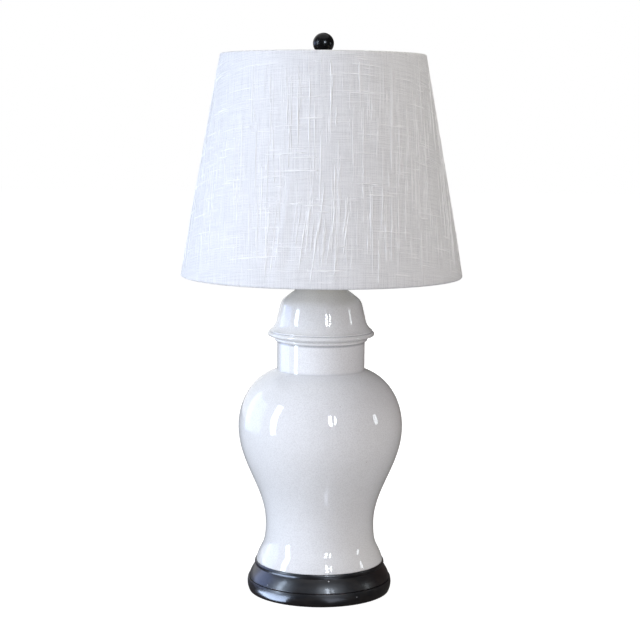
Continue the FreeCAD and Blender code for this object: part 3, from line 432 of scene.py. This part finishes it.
# Each metal's bright and dull colours, the scale and share of its tarnish, its roughness and marks
metals = {
    "brass": ((0.84, 0.63, 0.30), (0.42, 0.26, 0.10), 60.0, 0.55, 0.20, 0.35),
    "nickel": ((0.72, 0.69, 0.64), (0.40, 0.38, 0.35), 80.0, 0.35, 0.16, 0.2),
    "steel": ((0.58, 0.58, 0.59), (0.25, 0.24, 0.22), 110.0, 0.7, 0.30, 0.45),
    "aluminium": ((0.80, 0.80, 0.81), (0.52, 0.52, 0.52), 130.0, 0.5, 0.27, 0.3),
    "tungsten": ((0.36, 0.36, 0.37), (0.15, 0.15, 0.16), 300.0, 0.6, 0.35, 0.2),
}
for name, values in metals.items():
    finishes[name] = finish(name, metal_wire(*values), Metallic=1.0)

# Each moulded material's light and deep colours, the scale of its tones, the depth of its grain in
# metres, its roughness, and what else its shader needs
moulded = {
    "black_plastic": ((0.022, 0.021, 0.021), (0.012, 0.012, 0.012), 60.0, 0.00008, 0.34, {}),
    "knob_plastic": ((0.020, 0.019, 0.019), (0.010, 0.010, 0.010), 90.0, 0.00005, 0.24, {}),
    "paper": ((0.40, 0.30, 0.19), (0.31, 0.22, 0.13), 80.0, 0.0002, 0.8, {"IOR": 1.4}),
    "black_glass": ((0.015, 0.014, 0.018), (0.008, 0.008, 0.010), 120.0, 0.00003, 0.12, {}),
    "clear_glass": (
        (0.97, 0.98, 0.97), (0.94, 0.96, 0.95), 60.0, 0.00002, 0.02, {"Transmission_Weight": 1.0}
    ),
    "shade_wire": (
        (0.72, 0.72, 0.70), (0.62, 0.61, 0.59), 90.0, 0.0001, 0.32, {"Coat_Weight": 0.3}
    ),
    "shade_backing": ((0.80, 0.785, 0.75), (0.745, 0.73, 0.69), 14.0, 0.00012, 0.42, {}),
}
for name, (*values, more) in moulded.items():
    finishes[name] = finish(name, moulded_wire(*values), **{"IOR": 1.5, **more})

for piece in node.values():
    slot = piece.data.materials[0].name
    piece.data.materials.clear()
    piece.data.materials.append(finishes[slot])


# ---- Surfaces worked out on grids
def grid_mesh(name, points, finish_name, flat=None, extra=None):
    """A mesh from a grid of points in mm, closed both ways: rows follow the profile and columns go
    round. flat is a UV for each grid point, with one more row and column than the grid, and extra
    holds more numbers for each point."""
    rows, columns = points.shape[:2]
    row, column = np.meshgrid(np.arange(rows), np.arange(columns), indexing="ij")
    below, right = (row + 1) % rows, (column + 1) % columns
    corners = ((row, column), (row, right), (below, right), (below, column))
    faces = np.stack([r * columns + c for r, c in corners], -1).reshape(-1, 4)
    solid = points.reshape(-1, 3)
    first, second, third = (solid[faces[:, i]] for i in (0, 1, 2))
    fourth = solid[faces[:, 3]]
    volume = np.einsum("ij,ij->", first, np.cross(second, third))
    volume += np.einsum("ij,ij->", first, np.cross(third, fourth))
    inside_out = volume < 0
    uv = None
    if flat is not None:
        spots = [(row, column), (row, column + 1), (row + 1, column + 1), (row + 1, column)]
        uv = np.stack([flat[r, c] for r, c in spots], -2).reshape(-1, 4, 2)
    if inside_out:
        faces = faces[:, ::-1]
        uv = None if uv is None else uv[:, ::-1]
    return face_mesh(name, solid * MM, faces, finish_name, uv, extra)


def face_mesh(name, points, faces, finish_name, uv=None, extra=None):
    """A smooth-shaded mesh object from points in metres and faces of four, or of three where the
    fourth is the same as the third."""
    mesh = bpy.data.meshes.new(name)
    whole = faces[:, 2] != faces[:, 3]
    sizes = np.where(whole, 4, 3).astype(np.int32)
    keep = np.ones(faces.shape, bool)
    keep[~whole, 3] = False
    corners = faces[keep].astype(np.int32)
    mesh.vertices.add(len(points))
    mesh.vertices.foreach_set("co", np.ascontiguousarray(points, np.float32).ravel())
    mesh.loops.add(len(corners))
    mesh.loops.foreach_set("vertex_index", corners)
    mesh.polygons.add(len(faces))
    mesh.polygons.foreach_set("loop_start", np.concatenate([[0], np.cumsum(sizes)[:-1]]).astype(np.int32))
    mesh.polygons.foreach_set("use_smooth", np.ones(len(faces), bool))
    mesh.update(calc_edges=True)
    if uv is not None:
        layer = mesh.uv_layers.new(name="flat")
        layer.data.foreach_set("uv", np.ascontiguousarray(uv[keep], np.float32).ravel())
    for label, values in (extra or {}).items():
        attribute = mesh.attributes.new(label, "FLOAT", "POINT")
        attribute.data.foreach_set("value", np.ascontiguousarray(values, np.float32).ravel())
    mesh.validate()
    mesh.materials.append(finishes[finish_name])
    made = bpy.data.objects.new(name, mesh)
    bpy.context.scene.collection.objects.link(made)
    return made


def line_run(start, end, step=0.4):
    """The straight line from start towards end, as points a step apart."""
    count = max(2, int(math.dist(start, end) / step))
    share = np.linspace(0, 1, count, endpoint=False)[:, None]
    return np.array(start) * (1 - share) + np.array(end) * share


def arc_run(start, middle, end, step=0.25):
    """The circle through three points, from start through middle towards end, as points a step apart."""
    (ax, ay), (bx, by), (cx, cy) = start, middle, end
    scale = 2 * (ax * (by - cy) + bx * (cy - ay) + cx * (ay - by))
    aa, bb, cc = ax**2 + ay**2, bx**2 + by**2, cx**2 + cy**2
    x = (aa * (by - cy) + bb * (cy - ay) + cc * (ay - by)) / scale
    y = (aa * (cx - bx) + bb * (ax - cx) + cc * (bx - ax)) / scale
    first, through, last = (math.atan2(py - y, px - x) for px, py in (start, middle, end))
    turn = (last - first) % math.tau
    if (through - first) % math.tau > turn:
        turn -= math.tau
    radius = math.hypot(ax - x, ay - y)
    count = max(4, int(abs(turn) * radius / step))
    angles = first + turn * np.linspace(0, 1, count, endpoint=False)
    return np.stack([x + radius * np.cos(angles), y + radius * np.sin(angles)], -1)


def curve_run(start, first, second, end, step=0.4):
    """A cubic curve from start to end, pulled towards its two inner points."""
    count = max(8, int(math.dist(start, end) / step))
    t = np.linspace(0, 1, count, endpoint=False)[:, None]
    p, q, r, s = (np.array(v, float) for v in (start, first, second, end))
    return p * (1 - t) ** 3 + 3 * q * t * (1 - t) ** 2 + 3 * r * t**2 * (1 - t) + s * t**3


def profile(start, *steps):
    """A closed outline of (radius, height) in mm: a step of one point is a line, of two an arc
    through the first, and of three a curve with two pulls."""
    runs, here = [], start
    for step in steps + ([start],):
        if math.dist(here, step[-1]) < 1e-6:
            continue
        if len(step) == 1:
            runs.append(line_run(here, step[0]))
        elif len(step) == 2:
            runs.append(arc_run(here, *step))
        else:
            runs.append(curve_run(here, *step))
        here = step[-1]
    return np.concatenate(runs)


def softened(outline, reach, length_step, turn_step):
    """The closed outline evened out to equal steps, blurred over reach to round its corners, and
    thinned to a point for each length_step in mm or turn_step in degrees. Also gives its bend as a
    number: 0 at an outward edge, 0.5 where it is straight and 1 in a hollow."""
    loop = np.concatenate([outline, outline[:1]])
    gaps = np.hypot(*np.diff(loop, axis=0).T)
    run = np.concatenate([[0], np.cumsum(gaps)])
    pitch, bend_reach, bend_gain = 0.1, 1.2, 2.5
    even = np.arange(0, run[-1], pitch)
    dense = np.stack([np.interp(even, run, loop[:, i]) for i in (0, 1)], -1)
    wave = np.fft.fftfreq(len(dense), pitch)
    blur = np.exp(-2 * (math.pi * wave * reach) ** 2)[:, None]
    dense = np.real(np.fft.ifft(np.fft.fft(dense, axis=0) * blur, axis=0))
    step = np.roll(dense, -1, 0) - dense
    heading = np.arctan2(step[:, 1], step[:, 0])
    turn = (np.diff(heading, append=heading[:1]) + math.pi) % math.tau - math.pi
    cost = np.hypot(*step.T) / length_step + np.abs(turn) / math.radians(turn_step)
    total = np.concatenate([[0], np.cumsum(cost)])
    count = int(total[-1])
    pick = np.interp(np.arange(count) * total[-1] / count, total, np.arange(len(total)))
    index = np.arange(len(dense) + 1)
    closed = np.concatenate([dense, dense[:1]])
    thinned = np.stack([np.interp(pick, index, closed[:, i]) for i in (0, 1)], -1)
    area = np.sum(dense[:, 0] * np.roll(dense[:, 1], -1) - dense[:, 1] * np.roll(dense[:, 0], -1))
    blur = np.exp(-2 * (math.pi * wave * bend_reach) ** 2)
    bend = np.real(np.fft.ifft(np.fft.fft(turn / pitch) * blur))
    hollow = 0.5 - 0.5 * np.clip(bend * np.sign(area) * bend_gain, -1, 1)
    return thinned, np.interp(pick, np.arange(len(dense)), hollow)


def wobble(angle, height, seed, size):
    """A slow unevenness of a thrown wall: a few low waves round and up it, about size mm at most."""
    draw = np.random.default_rng(seed)
    total = np.zeros(np.broadcast(angle, height).shape)
    for count in (2, 3, 4, 5, 7):
        phase, lean = draw.uniform(0, math.tau), draw.uniform(-0.02, 0.02)
        total = total + np.sin(count * angle + phase + height * lean) * size / (1 + count)
    return total


def thrown(name, outline, seed, size, segments, finish_name, length_step=3.5, turn_step=7.0, reach=0.28):
    """A thrown piece: its softened outline carried round the lamp's axis, up to half of size out of
    true, and less inside full_radius."""
    full_radius = 50.0
    line, hollow = softened(outline, reach, length_step, turn_step)
    angle = np.arange(segments) * math.tau / segments
    radius, height = line[:, :1], line[:, 1:]
    uneven = wobble(angle[None, :], height, seed, size) * np.clip(radius / full_radius, 0, 1) * 0.5
    around = radius + uneven
    points = np.stack([around * np.cos(angle), around * np.sin(angle), height + 0 * angle], -1)
    extra = {"hollow": np.repeat(hollow[:, None], segments, 1)}
    return grid_mesh(name, points, finish_name, extra=extra)


# ---- Sizes in mm, as in the part's source
jar_z = 37.3
jar_foot, jar_waist, jar_belly, jar_neck = 81.0, 69.0, 104.3, 55.5
jar_foot_land, jar_waist_z, jar_belly_z, jar_shoulder_z = 40.0, 87.0, 213.4, 286.0
lid_z = 327.5
lip_height, lip_overhang = 4.7, 3.4
jar_wall, jar_floor = 6.0, 7.0
foot_ring, foot_recess = 12.0, 2.0
lid_side, lid_shoulder, lid_crown = 55.5, 38.5, 13.0
lid_side_z, lid_shoulder_z, lid_top_z = lid_z + 25.9, lid_z + 55.9, lid_z + 67.0
lid_foot, lid_rim, lid_rim_top = 59.8, 67.5, lid_z + 8.3
lid_collar, lid_bore, collar_depth = 48.3, 43.3, 7.0
lid_wall = 5.0
rod_hole = 5.3


def between(low, high, share):
    return low + (high - low) * share


def jar_side(inset, low, high):
    """The three curves of the jar's side, foot to waist to belly to neck, set in from the glaze.
    Each is two pulls and its end, and a pull lies at a share of the way between two sizes."""
    foot, waist, belly, neck = (r - inset for r in (jar_foot, jar_waist, jar_belly, jar_neck))
    return (
        [
            (between(foot, waist, 0.45), between(low, jar_waist_z, 0.435)),
            (waist, between(jar_waist_z, low, 0.67)),
            (waist, jar_waist_z),
        ],
        [
            (waist, between(jar_waist_z, jar_belly_z, 0.372)),
            (belly, between(jar_belly_z, jar_waist_z, 0.385)),
            (belly, jar_belly_z),
        ],
        [
            (belly, between(jar_belly_z, high, 0.397)),
            (between(neck, belly, 0.707), between(high, jar_belly_z, 0.15)),
            (neck, high),
        ],
    )


def jar_outline():
    """The jar's wall as one closed line of (radius, height): foot ring, side, neck and rolled lip,
    and back down the inside to the floor and the rod's hole."""
    lip_low = lid_z - lip_height
    lip_round = lip_height / 2
    lip_centre = jar_neck + lip_overhang - lip_round
    floor_z = jar_z + jar_floor
    inner_high = jar_shoulder_z - jar_wall * 0.73
    inner = jar_side(jar_wall, floor_z, inner_high)
    outer = jar_side(0, jar_foot_land, jar_shoulder_z)
    down = [[inner[2][1], inner[2][0], (inner[2][0][0], jar_belly_z)]]
    down.append([inner[1][1], inner[1][0], (inner[1][0][0], jar_waist_z)])
    down.append([inner[0][1], inner[0][0], (jar_foot - jar_wall, floor_z)])
    recess = jar_foot - foot_ring
    return profile(
        (recess, jar_z),
        [(jar_foot, jar_z)],
        [(jar_foot, jar_foot_land)],
        *outer,
        [(jar_neck, lip_low)],
        [(lip_centre, lip_low)],
        [(lip_centre + lip_round, lip_low + lip_round), (lip_centre, lid_z)],
        [(jar_neck - jar_wall, lid_z)],
        [(jar_neck - jar_wall, inner_high)],
        *down,
        [(rod_hole, floor_z)],
        [(rod_hole, jar_z + foot_recess)],
        [(recess, jar_z + foot_recess)],
    )


def lid_dome(inset):
    """The lid's side, shoulder and crown, set in from the glaze, from the side up."""
    side, side_z = lid_side - inset, lid_side_z
    shoulder, shoulder_z = lid_shoulder - inset * 0.6, lid_shoulder_z - inset * 0.8
    crown, crown_z = lid_crown, lid_top_z - inset
    up, step, climb = shoulder_z - side_z, shoulder - crown, crown_z - shoulder_z
    return (
        [
            (side - up * 0.181, side_z + up * 0.724),
            (shoulder + up * 0.485, shoulder_z - up * 0.37),
            (shoulder, shoulder_z),
        ],
        [
            (shoulder - step * 0.43, shoulder_z + climb * 0.75),
            (crown + step * 0.3, crown_z),
            (crown, crown_z),
        ],
    )


def lid_outline():
    """The lid's wall as one closed line of (radius, height): collar, flange with its bead and
    groove, dome and the rod's hole, and back down the inside."""
    collar_z, under_z = lid_z - collar_depth, lid_top_z - lid_wall
    rim, rim_top, side_z = lid_rim, lid_rim_top, lid_side_z
    inner = lid_dome(lid_wall)
    down = [[inner[1][1], inner[1][0], inner[0][2]]]
    down.append([inner[0][1], inner[0][0], (lid_side - lid_wall, side_z)])
    return profile(
        (lid_bore, collar_z),
        [(lid_collar, collar_z)],
        [(lid_collar, lid_z)],
        [(lid_foot, lid_z)],
        # The flange's underside, its bead, its groove and the cove up to the side
        [(lid_foot + 1.0, lid_z + 1.2)],
        [(rim - 2.6, lid_z + 1.7)],
        [(rim + 0.1, lid_z + 4.8), (rim - 2.4, rim_top - 1.0)],
        [(rim - 3.0, rim_top - 0.7)],
        [(rim - 2.3, rim_top + 0.7)],
        [(rim - 11.1, rim_top + 6.1), (lid_side + 0.5, side_z - 2.2), (lid_side, side_z)],
        *lid_dome(0),
        [(rod_hole, lid_top_z)],
        [(rod_hole, under_z)],
        [(lid_crown, under_z)],
        *down,
        [(lid_bore, lid_z + 12.0)],
    )


jar = thrown("jar_glazed", jar_outline(), 11, 0.35, 200, "white_glaze")
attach(jar, "stand")
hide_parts("jar_body")

lid = thrown("lid_glazed", lid_outline(), 12, 0.22, 200, "white_glaze", length_step=2.0, turn_step=5.0)
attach(lid, "stand")
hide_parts("jar_lid")

# ---- Shade cloth, in mm
shade_bottom, shade_top = 177.8, 128.2
shade_height, shade_bottom_z = 276.9, 405.4
cloth = 0.8
roll = 2.45
hem, inner_hem = 11.0, 2.5
lean = math.atan2(shade_bottom - shade_top, shade_height)
slope = math.hypot(shade_bottom - shade_top, shade_height)
apex_z = shade_bottom_z + shade_bottom / math.tan(lean)
apex_reach = shade_bottom / math.sin(lean)
turn_share = math.sin(lean)
lap_start, lap_rise = 175.6, 0.6
# Soft creases: angle from the front in degrees, where each is deepest along the slope, its depth,
# its half width in degrees, its half length in mm and how many degrees it leans for each 100 mm
creases = (
    (-23.0, 60.0, 0.60, 1.3, 55.0, 3.5),
    (-19.5, 52.0, -0.75, 1.1, 60.0, 4.0),
    (-16.0, 66.0, 0.70, 1.2, 62.0, 3.5),
    (-12.5, 58.0, -0.65, 1.2, 60.0, 3.0),
    (-9.0, 48.0, 0.45, 1.3, 50.0, 2.5),
    (-4.0, 36.0, -0.35, 1.4, 40.0, 2.0),
    (26.0, 190.0, 0.35, 2.0, 60.0, 0.0),
    (48.0, 60.0, -0.30, 2.4, 60.0, -2.0),
    (112.0, 120.0, 0.45, 2.2, 80.0, 1.0),
    (-96.0, 90.0, -0.40, 2.0, 70.0, -1.0),
)


def drape(angle, along):
    """How far the cloth stands off the true cone, in mm: slow waves round the drum that die out at
    the rings, the soft creases and, at the back, the lap of one end of the cloth over the other.
    angle is from the front and along is from the bottom edge. The fades are in mm and the lap's
    width is in degrees."""
    ring_fade, edge_fade, lap_width = 40.0, 12.0, 0.6
    held = np.clip(np.minimum(along, slope - along) / ring_fade, 0, 1)
    off = wobble(angle, along, 31, 1.1) * held * 0.5
    for centre, middle, depth, half_width, half_length, slant in creases:
        aside = (np.degrees(angle) - centre - slant * (along - middle) / 100.0) / half_width
        up = (along - middle) / half_length
        off = off + depth * np.exp(-(aside**2) - up**2) * np.clip(along / edge_fade, 0, 1)
    return off + lap_rise * np.clip((np.degrees(angle) - lap_start) / lap_width, 0, 1)


def on_shade(angle, along, inward):
    """A point of the shade: angle from the front, along the slope from the bottom, and inward from
    the cloth's face, in mm."""
    reach = apex_reach - along
    depth = inward - drape(angle, along)
    radius = reach * math.sin(lean) - depth * math.cos(lean)
    height = apex_z - reach * math.cos(lean) - depth * math.sin(lean)
    return np.stack([radius * np.sin(angle), -radius * np.cos(angle), height + 0 * angle], -1)


def cut_place(angle, along):
    """Where a point of the drum lies on the flat cut, in metres from the cone's apex."""
    reach = (apex_reach - along) * MM
    return np.stack([reach * np.sin(angle * turn_share), -reach * np.cos(angle * turn_share)], -1)


def cloth_section():
    """The cloth's thickness as a closed line of (along, inward): up the face, over the top ring,
    down its turned-in edge, back under it, down the inner face and round the bottom ring."""
    high, inner = slope - roll, roll - cloth
    # Where the turned-in edge leaves the roll, is pulled to and lies flat, on its face and its back
    face_leave, face_pull, face_flat = 2.5, 3.5, 6.5
    back_leave, back_pull, back_flat = 2.0, 3.2, 6.2
    face, under = inner_hem + cloth, roll * 2 - cloth
    line = profile(
        (roll, 0.0),
        [(high, 0.0)],
        [(slope, roll), (high, roll * 2)],
        [(high - face_leave, roll * 2 - 0.1), (high - face_pull, face), (high - face_flat, face)],
        [(high - hem, face)],
        [(high - hem, inner_hem)],
        [(high - back_flat, inner_hem)],
        [(high - back_pull, inner_hem), (high - back_leave, under), (high, under)],
        [(high + inner, roll), (high, cloth)],
        [(roll, cloth)],
        [(roll - inner, roll), (roll, under)],
        [(roll + back_leave, under), (roll + back_pull, inner_hem), (roll + back_flat, inner_hem)],
        [(roll + hem, inner_hem)],
        [(roll + hem, face)],
        [(roll + face_flat, face)],
        [(roll + face_pull, face), (roll + face_leave, roll * 2 - 0.1), (roll, roll * 2)],
        [(0.0, roll), (roll, 0.0)],
    )
    return softened(line, 0.12, 6.0, 24.0)[0]


section = cloth_section()
columns = 540
turns = np.arange(columns) * math.tau / columns - math.pi
along, inward = section[:, :1], section[:, 1:]
cloth_points = on_shade(turns[None, :] + 0 * along, along + 0 * turns, inward + 0 * turns)
seam_turns = np.linspace(-math.pi, math.pi, columns + 1)
closed_along = np.concatenate([along, along[:1]])
closed_inward = np.concatenate([inward, inward[:1]])
flat = cut_place(seam_turns[None, :] + 0 * closed_along, closed_along - closed_inward + 0 * seam_turns)
shade_cloth = grid_mesh("shade_linen", cloth_points, "white_linen", flat=flat)
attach(shade_cloth, "shade")
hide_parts("shade_cover")


def slub_strands(
    seed, count, upright, length, width, height, sector=(-180.0, 180.0), band=(0.0, slope), slant=0.0
):
    """Thick places in single threads: a strand follows a straight thread of the flat cut, its width
    and height swell and taper by sines along it, and its section is a flattened hexagon that is
    sunk a little into the cloth. They lie within a sector of the drum, in degrees from the front,
    and a band of its slope, in mm from the bottom, and slant tips the upright ones over."""
    draw = np.random.default_rng(seed)

    def each(low, high):
        return draw.uniform(low, high, count)[:, None, None]

    theta = draw.uniform(*np.radians(sector) * turn_share, count)
    reach = np.sqrt(draw.uniform((apex_reach - band[1]) ** 2, (apex_reach - band[0]) ** 2, count))
    middle = np.stack([reach * np.sin(theta), -reach * np.cos(theta)], -1)
    span = each(*length)
    stations = 13
    t = np.linspace(0, 1, stations)[None, :, None]
    taper = np.clip(np.sin(math.pi * t), 0, 1) ** 0.45
    lumps = 1 + 0.35 * np.sin(t * each(8, 26) + each(0, 6))
    half = each(*width) / 2 * taper * lumps
    tall = each(*height) * taper * lumps
    sway = 0.35 * np.sin(t * each(3, 9) + each(0, 6))
    across = np.array([-1.0, -0.55, 0.55, 1.0, 0.5, -0.5])[None, None, :] * half + sway
    off = np.array([-0.05, 0.85, 0.85, -0.05, -0.4, -0.4])[None, None, :] * tall
    run = (t - 0.5) * span + 0 * across
    x = middle[:, 0, None, None] + (across + slant * run if upright else run)
    y = middle[:, 1, None, None] + (run if upright else across)
    reach_here = np.hypot(x, y)
    angle = np.arctan2(x, -y) / turn_share
    along_here = apex_reach - reach_here
    # No strand comes this near to the edges, in mm, or to the lap, in radians
    edge, lap = 3.0, 0.03
    inside = (along_here > edge) & (along_here < slope - edge) & (np.abs(angle) < math.pi - lap)
    return on_shade(angle, along_here, -off)[inside.all((1, 2))]


def strand_mesh(name, groups):
    """All strands as one mesh, each closed to a point at both ends."""
    points = np.concatenate(groups)
    count, stations, sides = points.shape[:3]
    ends = points[:, [0, -1]].mean(2)
    body = points[:, 1:-1]
    inner = stations - 2
    block = inner * sides + 2
    vertices = np.concatenate([body.reshape(count, -1, 3), ends], 1).reshape(-1, 3)
    row, side = np.meshgrid(np.arange(inner - 1), np.arange(sides), indexing="ij")
    beside = (side + 1) % sides
    corners = ((row, side), (row, beside), (row + 1, beside), (row + 1, side))
    quads = np.stack([r * sides + c for r, c in corners], -1)
    side = np.arange(sides)
    beside = (side + 1) % sides
    last = (inner - 1) * sides
    start = np.stack([beside, side, side * 0 + block - 2, side * 0 + block - 2], -1)
    end = np.stack([last + side, last + beside, side * 0 + block - 1, side * 0 + block - 1], -1)
    faces = np.concatenate([quads.reshape(-1, 4), start, end])
    faces = (faces[None] + np.arange(count)[:, None, None] * block).reshape(-1, 4)
    return face_mesh(name, vertices * MM, faces, "linen_slub")


strands = strand_mesh(
    "shade_slubs",
    [
        slub_strands(41, 380, True, (18.0, 120.0), (0.8, 1.7), (0.42, 0.85)),
        slub_strands(42, 210, False, (12.0, 60.0), (0.8, 1.8), (0.40, 0.75)),
        slub_strands(43, 480, True, (10.0, 70.0), (0.5, 1.0), (0.18, 0.40)),
        slub_strands(44, 300, False, (8.0, 40.0), (0.5, 1.0), (0.18, 0.40)),
        slub_strands(
            45, 36, True, (30.0, 85.0), (0.8, 1.7), (0.40, 0.80), (-24.0, 11.0), (15.0, 90.0), 0.12
        ),
    ],
)
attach(strands, "shade")


# ---- Floor, light and camera
def square(half, z):
    """The corners of a level square about the lamp's axis."""
    return [(-half, -half, z), (half, -half, z), (half, half, z), (-half, half, z)]


def plain_mesh(name, corners, faces, material):
    mesh = bpy.data.meshes.new(name)
    mesh.from_pydata(corners, [], faces)
    mesh.materials.append(material)
    made = bpy.data.objects.new(name, mesh)
    bpy.context.scene.collection.objects.link(made)
    return made


def shown_white(tree):
    """1 for what the camera, metal and glass see, and 0 for all other light."""
    path = add(tree, "LightPath").outputs
    seen = math_node(tree, "MAXIMUM", path["Is Camera Ray"], path["Is Glossy Ray"])
    return math_node(tree, "MAXIMUM", seen, path["Is Transmission Ray"])


def make_floor():
    """A floor that keeps the shadows but shows near white to the camera, metal and glass."""
    half, floor_z = 12.0, -0.0003
    bounce, dim, level = 0.50, 0.36, 0.915
    pale, tree = blank_material("pale_floor")
    seen = shown_white(tree)
    plain = add(tree, "BsdfDiffuse", {"Color": rgba((bounce, bounce, bounce))}).outputs[0]
    dimmed = add(tree, "BsdfDiffuse", {"Color": rgba((dim, dim, dim))}).outputs[0]
    both = add(tree, "MixShader", {0: seen, 1: plain, 2: dimmed}).outputs[0]
    strength = math_node(tree, "MULTIPLY", seen, level)
    glow = add(tree, "Emission", {"Color": rgba((1, 1, 1)), "Strength": strength}).outputs[0]
    total = add(tree, "AddShader", {0: both, 1: glow}).outputs[0]
    add(tree, "OutputMaterial", {"Surface": total})
    plain_mesh("floor", square(half, floor_z), [(0, 1, 2, 3)], pale)


make_floor()


def make_side_card():
    """A dark card out of the picture, behind on the right, that keeps that side of the lamp grey.
    Its edges fade out, so its reflection has no border."""
    place, facing, half_size = (0.85, 0.62, 0.30), (-0.81, -0.59, 0.0), (0.85, 0.42, 1.0)
    brown, soft = (0.16, 0.11, 0.09), 0.45
    card, tree = blank_material("side_card")
    spot = add(tree, "SeparateXYZ", {0: add(tree, "TexCoord").outputs["Object"]}).outputs
    across = rise(tree, math_node(tree, "ABSOLUTE", spot["X"]), 1.0 - soft, 1.0, 1.0, 0.0)
    up = rise(tree, math_node(tree, "ABSOLUTE", spot["Y"]), 1.0 - soft, 1.0, 1.0, 0.0)
    there = math_node(tree, "MULTIPLY", across, up)
    clear = add(tree, "BsdfTransparent").outputs[0]
    dark = add(tree, "BsdfDiffuse", {"Color": rgba(brown)}).outputs[0]
    both = add(tree, "MixShader", {0: there, 1: clear, 2: dark}).outputs[0]
    add(tree, "OutputMaterial", {"Surface": both})
    made = plain_mesh("side_card", square(1, 0), [(0, 1, 2, 3)], card)
    made.location = place
    made.rotation_euler = Vector(facing).to_track_quat("Z", "Y").to_euler()
    made.scale = half_size
    made.visible_camera = False


make_side_card()


def make_dim_room():
    """The dim room that the lamp's gloss mirrors: a wall round it, open at the back left, and a
    table top. It shows in glossy surfaces and nowhere else."""
    reach, high, steps, table_z = 3.2, 4.5, 60, 0.0005
    turn = np.radians(np.linspace(-115.0, 180.0, steps))
    ring = np.stack([reach * np.sin(turn), -reach * np.cos(turn)], -1)
    wall = [(x, y, z) for z in (0.0, high) for x, y in ring]
    faces = [(k, k + 1, steps + k + 1, steps + k) for k in range(steps - 1)]
    faces.append(tuple(len(wall) + k for k in range(4)))
    dim, tree = blank_material("dim_room")
    glow = add(tree, "Emission", {"Color": rgba((0.100, 0.090, 0.085)), "Strength": 1.0}).outputs[0]
    add(tree, "OutputMaterial", {"Surface": glow})
    made = plain_mesh("dim_room", wall + square(reach, table_z), faces, dim)
    made.visible_camera = made.visible_diffuse = False
    made.visible_shadow = made.visible_transmission = False


make_dim_room()


def make_world():
    """White to the camera, metal and glass, and a plain soft light to everything else."""
    soft_level = 0.25
    world = bpy.data.worlds.new("studio")
    bpy.context.scene.world = world
    world.use_nodes = True
    tree = world.node_tree
    tree.nodes.clear()
    white = add(tree, "Background", {"Color": rgba((1, 1, 1)), "Strength": 1.0}).outputs[0]
    soft = add(tree, "Background", {"Color": rgba((1, 1, 1)), "Strength": soft_level}).outputs[0]
    mixed = add(tree, "MixShader", {0: shown_white(tree), 1: soft, 2: white}).outputs[0]
    add(tree, "OutputWorld", {"Surface": mixed})


make_world()

lamp_middle = Vector((0.0, 0.0, 0.35))


def window(name, turn, height, distance, width, tall, level, colour, mirrored):
    """A soft flat light that faces the lamp's middle: turn is its direction from the front in
    degrees, to the right where positive, and level is how bright its face is, where 1 is white. A
    mirrored one only shows in glossy surfaces, and the others only light them."""
    data = bpy.data.lights.new(name, "AREA")
    data.shape = "RECTANGLE"
    data.size, data.size_y = width, tall
    data.energy = level * math.pi * width * tall
    data.color = colour
    made = bpy.data.objects.new(name, data)
    turn = math.radians(turn)
    place = Vector((math.sin(turn) * distance, -math.cos(turn) * distance, height))
    made.location = place
    made.rotation_euler = (lamp_middle - place).to_track_quat("-Z", "Y").to_euler()
    made.visible_camera = False
    made.visible_glossy = mirrored
    made.visible_diffuse = not mirrored
    bpy.context.scene.collection.objects.link(made)
    return made


def table_sheen(name, turn, distance, width, tall, level, colour, twist):
    """A window's sheen on the table close to the base, which only the base's foot mirrors."""
    made = window(name, turn, 0.002, distance, width, tall, level, colour, True)
    made.rotation_euler = (math.pi, 0.0, math.radians(twist))


window("key", -64.0, 0.75, 2.4, 1.6, 1.8, 6.9, (0.765, 0.845, 1.0), False)
window("fill", 32.0, 1.0, 2.8, 1.8, 1.6, 2.5, (1.0, 0.95, 1.0), False)
window("top", 75.0, 2.4, 0.8, 0.9, 0.8, 5.1, (1.0, 0.97, 0.80), False)
window("low", 0.0, 0.12, 1.5, 1.1, 0.35, 1.4, (1.0, 0.97, 0.95), False)
window("back", 168.0, 0.9, 2.6, 1.8, 1.6, 2.6, (0.98, 0.99, 1.0), False)
window("left_window", -67.0, 0.64, 1.6, 0.27, 1.26, 28.0, (0.66, 0.80, 1.0), True)
window("left_wall", -108.0, 0.45, 1.3, 0.9, 0.9, 3.5, (0.38, 0.52, 1.0), True)
window("right_window_near", 14.0, 1.20, 2.6, 0.20, 0.80, 95.0, (0.78, 0.87, 1.0), True)
window("right_window_far", 22.5, 1.20, 2.6, 0.09, 0.60, 85.0, (0.78, 0.87, 1.0), True)
window("right_window_side", 84.0, 0.70, 2.5, 0.26, 0.60, 8.0, (0.88, 0.95, 1.0), True)
table_sheen("table_sheen", -47.0, 0.122, 0.055, 0.070, 18.5, (0.60, 0.74, 1.0), 52.0)
table_sheen("table_sheen_front", 12.0, 0.135, 0.040, 0.060, 3.5, (0.74, 0.82, 1.0), -12.0)

# The camera, fitted to the photo's outlines: its place in metres and its angles in degrees
camera_place, camera_down, camera_roll = (-0.0015, -2.0651, 0.5986), 6.9, 0.46
camera_data = bpy.data.cameras.new("camera")
camera_data.lens = 92.25
camera_data.sensor_width = 36.0
camera = bpy.data.objects.new("camera", camera_data)
camera.matrix_world = (
    Matrix.Translation(camera_place)
    @ Matrix.Rotation(math.radians(90 - camera_down), 4, "X")
    @ Matrix.Rotation(math.radians(camera_roll), 4, "Z")
)
bpy.context.scene.collection.objects.link(camera)
bpy.context.scene.camera = camera
bpy.context.scene.view_settings.view_transform = "Standard"
